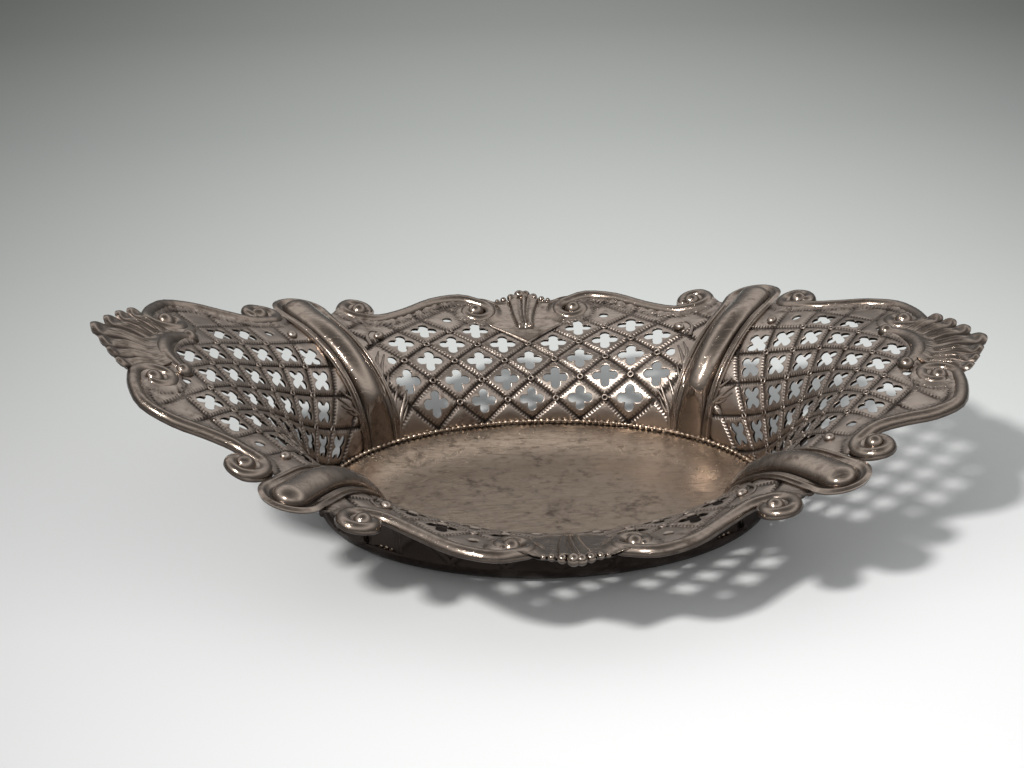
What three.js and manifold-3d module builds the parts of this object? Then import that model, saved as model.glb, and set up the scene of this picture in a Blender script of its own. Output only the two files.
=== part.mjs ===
// Oval pierced bonbon dish in stamped silver, millimetres, +Z up.
// Origin: centre of the flat underside. +X runs along the dish, +Y to the far long side.
import * as THREE from 'three';
import { mergeVertices } from 'three/addons/utils/BufferGeometryUtils.js';
import Module from 'manifold-3d';

const wasm = await Module();
wasm.setup();

// Foot: the seam where the walls meet the floor plate, an ellipse.
const footHalfLength = 42.5;
const footHalfWidth = 31.4;
const footHeight = 3.3;

// Metal.
const sheet = 0.7;
const seamGap = 0.3;
const overrun = 4;
const cutterTop = 60;

// Wall section: a quarter-ellipse shoulder on top of a straight outward slope.
const shoulderShare = 0.53;
const longShoulderRise = 11.2;
const endShoulderRise = 24.6;
const longSlopeShare = 0.17;
const endSlopeShare = 0.16;

// The two ends have sprung by hand: the left one stands higher than the right one.
const leftEndLift = 3.9;
const rightEndLift = -3.9;
const liftStartShare = 1.27;

// Pierced lattice. A half pitch runs from a crossing to the next cell centre.
const longHalfPitch = 4.72;
const longRowPitch = 4.35;
const longFirstRow = 4.65;
const longFanRadius = 182;
const endHalfPitch = 4.43;
const endRowPitch = 4.23;
const endMiddleRow = 22.04;
const endFanRadius = 173;
const endBowRadius = 25.1;
const quatrefoilReach = 2.4;
const quatrefoilLobe = 0.85;
const quatrefoilCusp = 1.15;
const quatrefoilLobeAngle = 50;
const pinholeRadius = 0.9;

// Corner flutes.
const fluteFootAngle = 44;
const fluteLeanAngle = 9.9;
const fluteFootHalfWidth = 5;
const fluteTipHalfWidth = 6.2;
const fluteTipShare = 1.79;
const fluteRise = 1.5;
const fluteFootReliefShare = 0.2;
const reedRise = 0.55;

// Rim mounts.
const wireRadius = 1.25;
const wireTailRadius = 0.8;
const eyeRadius = 1.3;
const longInnerVolute = 3.2;
const longOuterVolute = 3.1;
const endInnerVolute = 3.5;
const endOuterVolute = 3;
const collarBow = 10.2;
const collarRadius = 1.5;
const collarTailRadius = 1.05;
const collarEyeRadius = 1.45;
const collarCentreShare = 1.39;
const shellGauge = 1;
const shellRayRise = 0.8;
const endShellReach = 23.3;
const endShellSweepAngle = 40.1;
const endLobeDepth = 1.3;
const middleShellReach = 17.4;
const middleShellSweepAngle = 58;
const middleShellRoot = 1.3;
const middleLobeDepth = 0.9;

// Floor plate and the beaded wire round it.
const floorGauge = 0.8;
const beadRadius = 0.45;
const beadClearance = 0.5;

const degrees = Math.PI / 180;
const halfLength = collarCentreShare * footHalfLength + endShellReach;
const liftStart = liftStartShare * footHalfLength;

const silver = (tone) => new THREE.MeshStandardMaterial({ color: tone, roughness: 0.34, metalness: 1 });
const group = new THREE.Group();

function addPiece(name, geometry, tone) {
  const mesh = new THREE.Mesh(geometry, silver(tone));
  mesh.name = name;
  group.add(mesh);
}

// Solids

function toManifold(geometry) {
  const bare = geometry.clone();
  bare.deleteAttribute('normal');
  bare.deleteAttribute('uv');
  const merged = mergeVertices(bare, 1e-4);
  const mesh = new wasm.Mesh({
    numProp: 3,
    vertProperties: new Float32Array(merged.attributes.position.array),
    triVerts: new Uint32Array(merged.index.array),
  });
  return new wasm.Manifold(mesh);
}

function toGeometry(solid) {
  const mesh = solid.getMesh();
  const geometry = new THREE.BufferGeometry();
  geometry.setAttribute('position', new THREE.BufferAttribute(new Float32Array(mesh.vertProperties), 3));
  geometry.setIndex(new THREE.BufferAttribute(new Uint32Array(mesh.triVerts), 1));
  geometry.computeVertexNormals();
  return geometry;
}

function solidFrom(points, triangles) {
  const geometry = new THREE.BufferGeometry();
  const flat = points.flatMap((p) => [p.x, p.y, p.z]);
  geometry.setAttribute('position', new THREE.Float32BufferAttribute(flat, 3));
  geometry.setIndex(triangles.flat());
  const merged = mergeVertices(geometry, 1e-4);
  const index = merged.index.array;
  const kept = [];
  for (let i = 0; i < index.length; i += 3) {
    const [a, b, c] = [index[i], index[i + 1], index[i + 2]];
    if (a !== b && b !== c && c !== a) kept.push(a, b, c);
  }
  merged.setIndex(kept);
  if (signedVolume(merged) < 0) {
    const flipped = [];
    for (let i = 0; i < kept.length; i += 3) flipped.push(kept[i], kept[i + 2], kept[i + 1]);
    merged.setIndex(flipped);
  }
  return toManifold(merged);
}

function signedVolume(geometry) {
  const p = geometry.attributes.position;
  const index = geometry.index.array;
  const corner = (i) => new THREE.Vector3().fromBufferAttribute(p, index[i]);
  let sum = 0;
  for (let i = 0; i < index.length; i += 3) {
    sum += corner(i).dot(corner(i + 1).cross(corner(i + 2)));
  }
  return sum;
}

// A sheet: two skins over the same flat triangles, walls along every free edge.
function sheetSolid(flatPoints, triangles, innerAt, outerAt) {
  const count = flatPoints.length;
  const points = [...flatPoints.map(innerAt), ...flatPoints.map(outerAt)];
  const faces = [];
  const edges = new Map();
  for (const [a, b, c] of triangles) {
    faces.push([a, b, c], [count + a, count + c, count + b]);
    for (const [from, to] of [[a, b], [b, c], [c, a]]) {
      const back = `${to}_${from}`;
      if (edges.has(back)) edges.delete(back);
      else edges.set(`${from}_${to}`, [from, to]);
    }
  }
  for (const [from, to] of edges.values()) {
    faces.push([to, from, count + from], [to, count + from, count + to]);
  }
  return solidFrom(points, faces);
}

function prism(outline, low, high) {
  const shape = new THREE.Shape(outline.map((p) => new THREE.Vector2(p.x, p.y)));
  const geometry = new THREE.ExtrudeGeometry(shape, { depth: high - low, bevelEnabled: false });
  geometry.translate(0, 0, low);
  return toManifold(geometry);
}

// The wall surface. spread is 1 at the foot and grows outward; angle is the ellipse's own.

const blend = (from, to, share) => from + (to - from) * share;

function endLiftAt(x) {
  const share = Math.max(0, (Math.abs(x) - liftStart) / (halfLength - liftStart));
  return share * (x < 0 ? leftEndLift : rightEndLift);
}

function wallPoint(spread, angle, drop = 0) {
  const x = spread * footHalfLength * Math.cos(angle);
  const y = spread * footHalfWidth * Math.sin(angle);
  const endShare = Math.cos(angle) ** 2;
  const shoulderRise = blend(longShoulderRise, endShoulderRise, endShare);
  const slope = blend(longSlopeShare, endSlopeShare, endShare);
  const inShoulder = 1 - Math.min(1, (spread - 1) / shoulderShare);
  const outward = Math.hypot(x, y) * (1 - 1 / spread);
  const rise = shoulderRise * Math.sqrt(1 - inShoulder ** 2) + slope * outward;
  return new THREE.Vector3(x, y, footHeight + rise - drop + endLiftAt(x));
}

// Below the foot line the sheet runs straight down, to be trimmed there.
function wallAt(spread, angle, drop) {
  return wallPoint(Math.max(1, spread), angle, drop);
}

function wallNormal(spread, angle) {
  const bend = Math.acos(Math.max(0, 1 - (Math.max(1, spread) - 1) / shoulderShare));
  const step = 0.01;
  const safeBend = Math.max(step, bend);
  const outwardOf = (b) => 1 + shoulderShare * (1 - Math.cos(b));
  const inShoulder = spread < 1 + shoulderShare;
  const low = inShoulder ? outwardOf(safeBend - step) : spread - step;
  const high = inShoulder ? outwardOf(safeBend + step) : spread + step;
  const up = wallPoint(high, angle).sub(wallPoint(low, angle));
  const around = wallPoint(spread, angle + step).sub(wallPoint(spread, angle - step));
  return up.cross(around).normalize();
}

function lifted(place, height) {
  return wallAt(place.spread, place.angle, place.drop ?? 0)
    .addScaledVector(wallNormal(Math.max(1, place.spread), place.angle), height);
}

function spreadOf(x, y) {
  return Math.hypot(x / footHalfLength, y / footHalfWidth);
}

function placeOf(x, y) {
  return { spread: spreadOf(x, y), angle: Math.atan2(y / footHalfWidth, x / footHalfLength) };
}

// Arc length up the middle of a side, as a table of spreads.
const wallTopShare = 2.3;

function riseTable(angle) {
  const steps = 400;
  const rows = [{ length: 0, spread: 1 }];
  let last = wallPoint(1, angle);
  for (let i = 1; i <= steps; i += 1) {
    const bend = (i / steps) * Math.PI / 2;
    const spread = 1 + shoulderShare * (1 - Math.cos(bend));
    const next = wallPoint(spread, angle);
    rows.push({ length: rows[i - 1].length + planLift(next, last), spread });
    last = next;
  }
  const flat = wallPoint(wallTopShare, angle);
  rows.push({ length: rows[steps].length + planLift(flat, last), spread: wallTopShare });
  return rows;
}

// Distance between two points of a section, without the sprung lift of the ends.
function planLift(to, from) {
  const rise = to.z - endLiftAt(to.x) - from.z + endLiftAt(from.x);
  return Math.hypot(to.x - from.x, to.y - from.y, rise);
}

function spreadAt(table, length) {
  if (length <= 0) return 1;
  if (length >= table[table.length - 1].length) return wallTopShare;
  const next = table.findIndex((row) => row.length >= length);
  const [a, b] = [table[next - 1], table[next]];
  return blend(a.spread, b.spread, (length - a.length) / (b.length - a.length));
}

const longRise = riseTable(Math.PI / 2);
const endRise = riseTable(0);

// Flat pattern to wall: across runs along the side, up runs up the wall.
function longPlace(across, up) {
  const spread = spreadAt(longRise, up);
  const x = across * (1 + Math.max(0, up) / longFanRadius);
  const share = x / (spread * footHalfLength);
  const valid = Math.abs(share) < 1 && spread < wallTopShare;
  return { spread, angle: Math.acos(share), drop: Math.max(0, -up), valid };
}

function endPlace(across, up) {
  const bowed = up + across ** 2 / (2 * endBowRadius);
  const spread = spreadAt(endRise, bowed);
  const y = across * (1 + Math.max(0, up) / endFanRadius);
  const share = y / (spread * footHalfWidth);
  const valid = Math.abs(share) < 1 && spread < wallTopShare;
  return { spread, angle: Math.asin(share), drop: Math.max(0, -bowed), valid };
}

// Corner flutes: a middle line from the foot to the tip, and offsets along the parallels.

function fluteAngle(spread) {
  return (fluteFootAngle + fluteLeanAngle * (spread - 1)) * degrees;
}

function fluteHalfWidth(spread) {
  return blend(fluteFootHalfWidth, fluteTipHalfWidth, (spread - 1) / (fluteTipShare - 1));
}

function parallelLength(spread, angle) {
  return spread * Math.hypot(footHalfLength * Math.sin(angle), footHalfWidth * Math.cos(angle));
}

function besideFlute(spread, offset) {
  const angle = fluteAngle(spread);
  return { spread, angle: angle + offset / parallelLength(spread, angle) };
}

function plan(place) {
  return new THREE.Vector2(
    place.spread * footHalfLength * Math.cos(place.angle),
    place.spread * footHalfWidth * Math.sin(place.angle),
  );
}

// Half a flute, from its middle line to its edge: share of the half width, and the rise there.
const fluteProfileShares = [
  [0, fluteRise],
  [0.32, fluteRise * 0.8],
  [0.58, 0],
  [0.76, reedRise],
  [1, 0],
];
const fluteStations = 6;
const fluteFanSteps = 5;
const fluteCrowdingShare = 1.4;

function fluteSolid(mirrorX, mirrorY) {
  const rays = [];
  const stationSpread = (i) => 1 + (fluteTipShare - 1) * (i / fluteStations) ** fluteCrowdingShare;
  const side = Array.from({ length: fluteStations + 1 }, (_, i) => ({
    spread: stationSpread(i),
    relief: i === 0 ? fluteFootReliefShare : 1,
  }));
  side.forEach((station) => rays.push({ ...station, turn: 0 }));
  for (let i = 1; i < fluteFanSteps; i += 1) {
    rays.push({ spread: fluteTipShare, relief: 1, turn: (i / fluteFanSteps) * Math.PI });
  }
  side.toReversed().forEach((station) => rays.push({ ...station, turn: Math.PI }));

  const tipAngle = fluteAngle(fluteTipShare);
  const spreadPerUp = 1 / Math.hypot(footHalfLength * Math.cos(tipAngle), footHalfWidth * Math.sin(tipAngle));
  const flat = [];
  for (const ray of rays) {
    for (const [share, rise] of fluteProfileShares) {
      const reach = share * fluteHalfWidth(ray.spread);
      const up = reach * Math.sin(ray.turn);
      const spread = ray.spread + up * spreadPerUp;
      const place = besideFlute(ray.spread, 0);
      const aside = besideFlute(spread, -reach * Math.cos(ray.turn));
      flat.push({ place: share === 0 ? place : aside, rise: rise * ray.relief });
    }
  }
  const across = fluteProfileShares.length;
  const triangles = [];
  for (let i = 0; i + 1 < rays.length; i += 1) {
    for (let j = 0; j + 1 < across; j += 1) {
      const a = i * across + j;
      const b = a + across;
      triangles.push([a, a + 1, b + 1], [a, b + 1, b]);
    }
  }
  const mirrored = (point) => point.set(point.x * mirrorX, point.y * mirrorY, point.z);
  const at = (side) => ({ place, rise }) => {
    const bare = lifted(place, rise + (side * sheet) / 2);
    bare.z -= endLiftAt(bare.x);
    mirrored(bare);
    bare.z += endLiftAt(bare.x);
    return bare;
  };
  const solid = closedFlute(flat, triangles, at(1), at(-1));
  return solid.subtract(prism(footTrim(), -overrun, footHeight + seamGap));
}

// The two halves of a flute share their middle line, so their doubled edges close up.
function closedFlute(flat, triangles, innerAt, outerAt) {
  const weld = new Map();
  const order = [];
  const index = flat.map((entry) => {
    const key = `${entry.place.spread.toFixed(5)}_${entry.place.angle.toFixed(5)}`;
    if (!weld.has(key)) {
      weld.set(key, order.length);
      order.push(entry);
    }
    return weld.get(key);
  });
  const welded = triangles
    .map((t) => t.map((i) => index[i]))
    .filter(([a, b, c]) => a !== b && b !== c && c !== a);
  return sheetSolid(order, welded, innerAt, outerAt);
}

function footTrim() {
  const reach = footHalfLength + overrun;
  return [[-reach, -reach], [reach, -reach], [reach, reach], [-reach, reach]]
    .map(([x, y]) => new THREE.Vector2(x, y));
}

// Pierced panels: a diamond lattice laid on the flat pattern, one quatrefoil to a cell.

function quatrefoil() {
  const lobeCentre = quatrefoilReach - quatrefoilLobe;
  const points = [];
  for (let lobe = 0; lobe < 4; lobe += 1) {
    const axis = (lobe * Math.PI) / 2;
    for (const lean of [-quatrefoilLobeAngle, quatrefoilLobeAngle]) {
      const tip = axis + lean * degrees;
      points.push([
        lobeCentre * Math.cos(axis) + quatrefoilLobe * Math.cos(tip),
        lobeCentre * Math.sin(axis) + quatrefoilLobe * Math.sin(tip),
      ]);
    }
    const corner = axis + Math.PI / 4;
    points.push([quatrefoilCusp * Math.cos(corner), quatrefoilCusp * Math.sin(corner)]);
  }
  return points;
}

function pinhole() {
  const sides = 6;
  return Array.from({ length: sides }, (_, i) => {
    const turn = (i / sides) * Math.PI * 2;
    return [pinholeRadius * Math.cos(turn), pinholeRadius * Math.sin(turn)];
  });
}

// Cells by column and row; a column counts half pitches from the middle of the side.
// A third number is the share of a half pitch by which a hole next to a flute is set inward.
const longCells = [
  ...[0, 2, 4].map((column) => [column, 1]),
  ...[1, 3, 5].map((column) => [column, 2]),
  ...[0, 2, 4].map((column) => [column, 3]),
  ...[1, 3, 5].map((column) => [column, 4]),
  ...[2, 4].map((column) => [column, 5]),
];
const longPinholes = [[6, 3, 0.5], [3, 6]];
const endCells = [
  [3, -5], [2, -4], [0, -4],
  ...[1, 3].map((column) => [column, -3]),
  ...[0, 2, 4].map((column) => [column, -2]),
  ...[1, 3].map((column) => [column, -1]), [5, -1, 0.3],
  ...[0, 2, 4].map((column) => [column, 0]),
  ...[1, 3].map((column) => [column, 1]),
  ...[0, 2, 4].map((column) => [column, 2]),
  ...[1, 3].map((column) => [column, 3]),
  [0, 4],
];
const endPinholes = [[5, 1], [2, 4]];

const cellAt = (cells, column, row) => cells.find(([c, r]) => c === Math.abs(column) && r === row);

// A hole that would break into the rim, a flute or the next cell is left out.
const holeMarginShare = 1.1;

// Cell centres lie where column and row add up to the pattern's parity, corners on the others.
function latticeSheet(pattern, keep, clear) {
  const { place, halfPitch, rowPitch, rowZero, parity, cells, pinholes, reach, rise } = pattern;
  const columns = Math.ceil(reach / halfPitch);
  const lowRow = Math.floor((-overrun - reach - rowZero) / rowPitch);
  const highRow = Math.ceil((rise - rowZero) / rowPitch);
  const flat = [];
  const triangles = [];
  const at = (across, up) => ({ across, up });
  for (let row = lowRow; row <= highRow; row += 1) {
    for (let column = -columns; column <= columns; column += 1) {
      if (Math.abs(column + row) % 2 !== parity) continue;
      const across = column * halfPitch;
      const up = rowZero + row * rowPitch;
      const corners = [
        at(across - halfPitch, up), at(across, up - rowPitch),
        at(across + halfPitch, up), at(across, up + rowPitch),
      ];
      if (!corners.every((c) => place(c.across, c.up).valid)) continue;
      if (!corners.some((c) => keep(place(c.across, c.up)))) continue;
      const open = cellAt(cells, column, row);
      const small = cellAt(pinholes, column, row);
      const bore = open ? quatrefoil() : small ? pinhole() : [];
      const inward = (open ?? small)?.[2] ?? 0;
      const centre = across - Math.sign(column) * inward * halfPitch;
      const spots = (outline, swell) => outline.map(([dx, dy]) => at(centre + dx * swell, up + dy * swell));
      const fits = spots(bore, holeMarginShare).every((c) => clear(place(c.across, c.up)));
      const rim = fits ? spots(bore, 1) : [];
      const loop = (list) => list.map((c) => new THREE.Vector2(c.across, c.up));
      const faces = THREE.ShapeUtils.triangulateShape(loop(corners), rim.length ? [loop(rim)] : []);
      const start = flat.length;
      flat.push(...corners, ...rim);
      triangles.push(...faces.map((face) => face.map((i) => i + start)));
    }
  }
  return weldFlat(flat, triangles);
}

function isWithin(outline, spot) {
  let inside = false;
  outline.forEach((a, i) => {
    const b = outline[(i + 1) % outline.length];
    const crosses = (a.y > spot.y) !== (b.y > spot.y);
    if (crosses && spot.x < a.x + ((spot.y - a.y) / (b.y - a.y)) * (b.x - a.x)) inside = !inside;
  });
  return inside;
}

function weldFlat(flat, triangles) {
  const seen = new Map();
  const kept = [];
  const index = flat.map((point) => {
    const key = `${point.across.toFixed(4)}_${point.up.toFixed(4)}`;
    if (!seen.has(key)) {
      seen.set(key, kept.length);
      kept.push(point);
    }
    return seen.get(key);
  });
  return { flat: kept, triangles: triangles.map((face) => face.map((i) => index[i])) };
}

// Rim mounts lie on the wall: each point is a spot in plan and a height over the sheet.

const vec = (x, y) => new THREE.Vector2(x, y);
const mountBase = sheet / 2 + seamGap;
const halfRoundShares = [[-1, 0], [-0.75, 0.66], [0, 1], [0.75, 0.66], [1, 0]];

function onWall(point, height, mirrorX, mirrorY) {
  const bare = lifted(placeOf(point.x, point.y), height);
  bare.z -= endLiftAt(bare.x);
  bare.set(bare.x * mirrorX, bare.y * mirrorY, bare.z);
  bare.z += endLiftAt(bare.x);
  return bare;
}

// A half-round wire, flat side down, with its own radius at each point of its path.
function halfRound(path, radii, mirrorX, mirrorY) {
  const sides = halfRoundShares.length;
  const points = [];
  const triangles = [];
  const last = path.length - 1;
  path.forEach((centre, i) => {
    const along = path[Math.min(last, i + 1)].clone().sub(path[Math.max(0, i - 1)]).normalize();
    halfRoundShares.forEach(([aside, rise], k) => {
      const reach = aside * radii[i];
      const spot = vec(centre.x - along.y * reach, centre.y + along.x * reach);
      points.push(onWall(spot, mountBase + rise * radii[i], mirrorX, mirrorY));
      if (i === 0) return;
      const a = (i - 1) * sides + k;
      const b = (i - 1) * sides + ((k + 1) % sides);
      triangles.push([a, b, b + sides], [a, b + sides, a + sides]);
    });
  });
  const end = last * sides;
  for (let k = 1; k + 1 < sides; k += 1) {
    triangles.push([0, k + 1, k], [end, end + k, end + k + 1]);
  }
  return solidFrom(points, triangles);
}

// A round eye, flat side down.
function dome(centre, radius, mirrorX, mirrorY) {
  const sides = 6;
  const ringShares = [[1, 0], [0.75, 0.66]];
  const points = [];
  const triangles = [];
  ringShares.forEach(([aside, rise], r) => {
    for (let k = 0; k < sides; k += 1) {
      const turn = (k / sides) * Math.PI * 2;
      const spot = vec(centre.x + aside * radius * Math.cos(turn), centre.y + aside * radius * Math.sin(turn));
      points.push(onWall(spot, mountBase + rise * radius, mirrorX, mirrorY));
      const next = (k + 1) % sides;
      if (r === 0) triangles.push([k, next, next + sides], [k, next + sides, k + sides]);
      else triangles.push([sides + k, sides + next, ringShares.length * sides]);
    }
  });
  points.push(onWall(centre, mountBase + radius, mirrorX, mirrorY));
  for (let k = 1; k + 1 < sides; k += 1) triangles.push([0, k + 1, k]);
  return solidFrom(points, triangles);
}

// Scrolls of the rim, in plan, for the quarter where x and y are positive.

const curlSteps = 7;
const curlTightenShare = 0.5;
const curlEndShare = 0.45;

function curl({ centre, radius, fromTurn, sweep }) {
  return Array.from({ length: curlSteps + 1 }, (_, i) => {
    const share = i / curlSteps;
    const turn = (fromTurn + sweep * share) * degrees;
    const tightened = Math.max(0, (share - curlTightenShare) / (1 - curlTightenShare));
    const reach = radius * blend(1, curlEndShare, tightened);
    return vec(centre.x + reach * Math.cos(turn), centre.y + reach * Math.sin(turn));
  });
}

// Places in plan are shares of the foot's half length and half width.
const inPlan = ([xShare, yShare]) => vec(xShare * footHalfLength, yShare * footHalfWidth);

const longInnerShares = [0.24, 1.694];
const longOuterShares = [0.807, 1.519];
const longRunShares = [[0.315, 1.844], [0.456, 1.764], [0.588, 1.586], [0.711, 1.439]];
const endInnerShares = [1.647, 0.433];
const endOuterShares = [1.266, 1.096];
const endRunShares = [[1.746, 0.586], [1.689, 0.771], [1.562, 0.866], [1.433, 0.889], [1.308, 0.92]];

const longScroll = {
  inner: { centre: inPlan(longInnerShares), radius: longInnerVolute, fromTurn: 110, sweep: 290 },
  run: longRunShares.map(inPlan),
  outer: { centre: inPlan(longOuterShares), radius: longOuterVolute, fromTurn: 262, sweep: 290 },
};
const endScroll = {
  inner: { centre: inPlan(endInnerShares), radius: endInnerVolute, fromTurn: 10, sweep: -290 },
  run: endRunShares.map(inPlan),
  outer: { centre: inPlan(endOuterShares), radius: endOuterVolute, fromTurn: 232, sweep: -290 },
};

function discOutline({ centre, radius }, extra) {
  const sides = 10;
  return Array.from({ length: sides }, (_, i) => {
    const turn = (i / sides) * Math.PI * 2;
    const reach = radius + extra;
    return vec(centre.x + reach * Math.cos(turn), centre.y + reach * Math.sin(turn));
  });
}

const mirroredOutline = (outline, mirrorX, mirrorY) => outline.map((p) => vec(p.x * mirrorX, p.y * mirrorY));

function scrollSolid(scroll, mirrorX, mirrorY) {
  const tails = Array.from({ length: curlSteps + 1 }, (_, i) => (
    blend(wireRadius, wireTailRadius, i / curlSteps)));
  const path = [...curl(scroll.inner).toReversed(), ...scroll.run, ...curl(scroll.outer)];
  const radii = [...tails.toReversed(), ...scroll.run.map(() => wireRadius), ...tails];
  let solid = halfRound(path, radii, mirrorX, mirrorY);
  for (const { centre } of [scroll.inner, scroll.outer]) {
    solid = solid.add(dome(centre, eyeRadius, mirrorX, mirrorY));
  }
  return solid;
}

// Collar at each end: a C with balls at its tips, its back to the shell.

const collarCentre = inPlan([collarCentreShare, 0]);
const collarHalfAngle = 52;
const collarSteps = 8;

function collarPoint(turn, extra) {
  const reach = collarBow + extra;
  const lean = turn * degrees;
  return vec(collarCentre.x + reach * Math.cos(lean), collarCentre.y + reach * Math.sin(lean));
}

function collarArc(extra, halfTurn, steps) {
  return Array.from({ length: steps + 1 }, (_, i) => collarPoint(blend(-halfTurn, halfTurn, i / steps), extra));
}

function collarSolid(mirrorX) {
  const arc = collarArc(0, collarHalfAngle, collarSteps);
  const radii = arc.map((_, i) => blend(collarTailRadius, collarRadius, Math.sin((i / collarSteps) * Math.PI)));
  let solid = halfRound(arc, radii, mirrorX, 1);
  for (const tip of [arc[0], arc[collarSteps]]) solid = solid.add(dome(tip, collarEyeRadius, mirrorX, 1));
  return solid;
}

// Shells: a fan of rays about a centre, each ending in a rounded lobe.
// A lobe is its turn, its reach and half the turn it takes up, as shares of the fan's sweep and reach.

const lobeCurveShares = [-1, -0.45, 0.45, 1];

function fanSolid(fan, mirrorX, mirrorY) {
  const rays = [];
  lobeRow(fan.lobeShares).forEach(([turnShare, reachShare, widthShare], lobe) => {
    for (const share of lobe === 0 ? lobeCurveShares : lobeCurveShares.slice(1)) {
      rays.push({
        turn: (turnShare + share * widthShare) * fan.sweepAngle,
        reach: fan.reach * reachShare - fan.lobeDepth * share ** 2,
        rise: shellRayRise * (1 - share ** 2),
      });
    }
  });
  const flat = [];
  for (const ray of rays) {
    for (const share of fan.shares) {
      const reach = blend(fan.root, ray.reach, share);
      const turn = ray.turn * degrees;
      const x = fan.centre.x + reach * (fan.alongX ? Math.cos(turn) : Math.sin(turn));
      const y = fan.centre.y + reach * (fan.alongX ? Math.sin(turn) : Math.cos(turn));
      flat.push({ spot: vec(x, y), rise: ray.rise * fan.reliefShares[fan.shares.indexOf(share)] });
    }
  }
  const down = fan.shares.length;
  const triangles = [];
  for (let i = 0; i + 1 < rays.length; i += 1) {
    for (let j = 0; j + 1 < down; j += 1) {
      const a = i * down + j;
      triangles.push([a, a + 1, a + down + 1], [a, a + down + 1, a + down]);
    }
  }
  const at = (side) => ({ spot, rise }) => {
    const flipX = fan.alongX ? mirrorX : Math.sign(spot.x) || 1;
    const flipY = fan.alongX ? Math.sign(spot.y) || 1 : mirrorY;
    const quarterSpot = vec(Math.abs(spot.x), Math.abs(spot.y));
    return onWall(quarterSpot, rise + (side * shellGauge) / 2, flipX, flipY);
  };
  return sheetSolid(flat, triangles, at(1), at(-1));
}

const lobeRow = (lobes) => [
  ...lobes.slice(1).reverse().map(([turn, reach, width]) => [-turn, reach, width]),
  ...lobes,
];

const endLobeShares = [[0, 1, 0.187], [0.3392, 0.944, 0.1521], [0.6234, 0.927, 0.1322], [0.8778, 0.927, 0.1222]];
const middleLobeShares = [
  [0, 1, 0.1034], [0.1862, 0.897, 0.0828], [0.3379, 0.845, 0.069], [0.531, 0.747, 0.1241], [0.8276, 0.546, 0.1724],
];

const endShell = {
  centre: collarCentre,
  root: collarBow + collarRadius + seamGap,
  reach: endShellReach,
  alongX: true,
  lobeDepth: endLobeDepth,
  shares: [0, 0.5, 1],
  reliefShares: [0.4, 1, 0.8],
  sweepAngle: endShellSweepAngle,
  lobeShares: endLobeShares,
};
const middleShell = {
  centre: inPlan([0, 1.408]),
  root: middleShellRoot,
  reach: middleShellReach,
  alongX: false,
  lobeDepth: middleLobeDepth,
  shares: [0, 1],
  reliefShares: [0.6, 1],
  sweepAngle: middleShellSweepAngle,
  lobeShares: middleLobeShares,
};

// Trimming outlines: the sheet runs out under the rim wires and ends flush with them.

const farOut = 100;

function rimRun(scroll, sideSign) {
  const path = [curl(scroll.inner)[0], ...scroll.run, curl(scroll.outer)[0]];
  return path.map((p, i) => {
    const before = path[Math.max(0, i - 1)];
    const after = path[Math.min(path.length - 1, i + 1)];
    const along = after.clone().sub(before).normalize();
    return vec(p.x - sideSign * along.y * wireRadius, p.y + sideSign * along.x * wireRadius);
  });
}

const longRimOutline = [
  vec(0, longScroll.inner.centre.y), longScroll.inner.centre,
  ...rimRun(longScroll, 1),
  longScroll.outer.centre, vec(farOut, longScroll.outer.centre.y - wireRadius), vec(farOut, farOut),
  vec(0, farOut),
];
const endRimOutline = [
  vec(endScroll.inner.centre.x, 0), endScroll.inner.centre,
  ...rimRun(endScroll, -1),
  endScroll.outer.centre, vec(0, endScroll.outer.centre.y - wireRadius), vec(0, farOut),
  vec(farOut, farOut), vec(farOut, 0),
];

const sectorFromShare = 0.9;
const sectorToShare = 1.9;

function sectorOutline(alongX) {
  const steps = 8;
  const edge = [];
  for (let i = 0; i <= steps; i += 1) {
    const spread = blend(sectorFromShare, sectorToShare, i / steps);
    const offset = (fluteHalfWidth(spread) + seamGap) * (alongX ? -1 : 1);
    edge.push(plan(besideFlute(spread, offset)));
  }
  const tip = edge[steps];
  edge.push(alongX ? vec(farOut, tip.y) : vec(tip.x, farOut));
  const mirrorX = alongX ? 1 : -1;
  const mirrorY = alongX ? -1 : 1;
  return [...edge, ...mirroredOutline(edge, mirrorX, mirrorY).reverse()];
}

const longPattern = {
  place: longPlace,
  halfPitch: longHalfPitch,
  rowPitch: longRowPitch,
  rowZero: longFirstRow - longRowPitch,
  parity: 1,
  cells: longCells,
  pinholes: longPinholes,
  reach: footHalfLength * wallTopShare,
  rise: longRise[longRise.length - 1].length,
};
const endPattern = {
  place: endPlace,
  halfPitch: endHalfPitch,
  rowPitch: endRowPitch,
  rowZero: endMiddleRow,
  parity: 0,
  cells: endCells,
  pinholes: endPinholes,
  reach: footHalfWidth * wallTopShare,
  rise: endRise[endRise.length - 1].length,
};

// A cell is built where a corner of it lies between the flutes, short of the rim.
const panelToShare = 2.05;
const fluteCoverAngle = 2;

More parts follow.
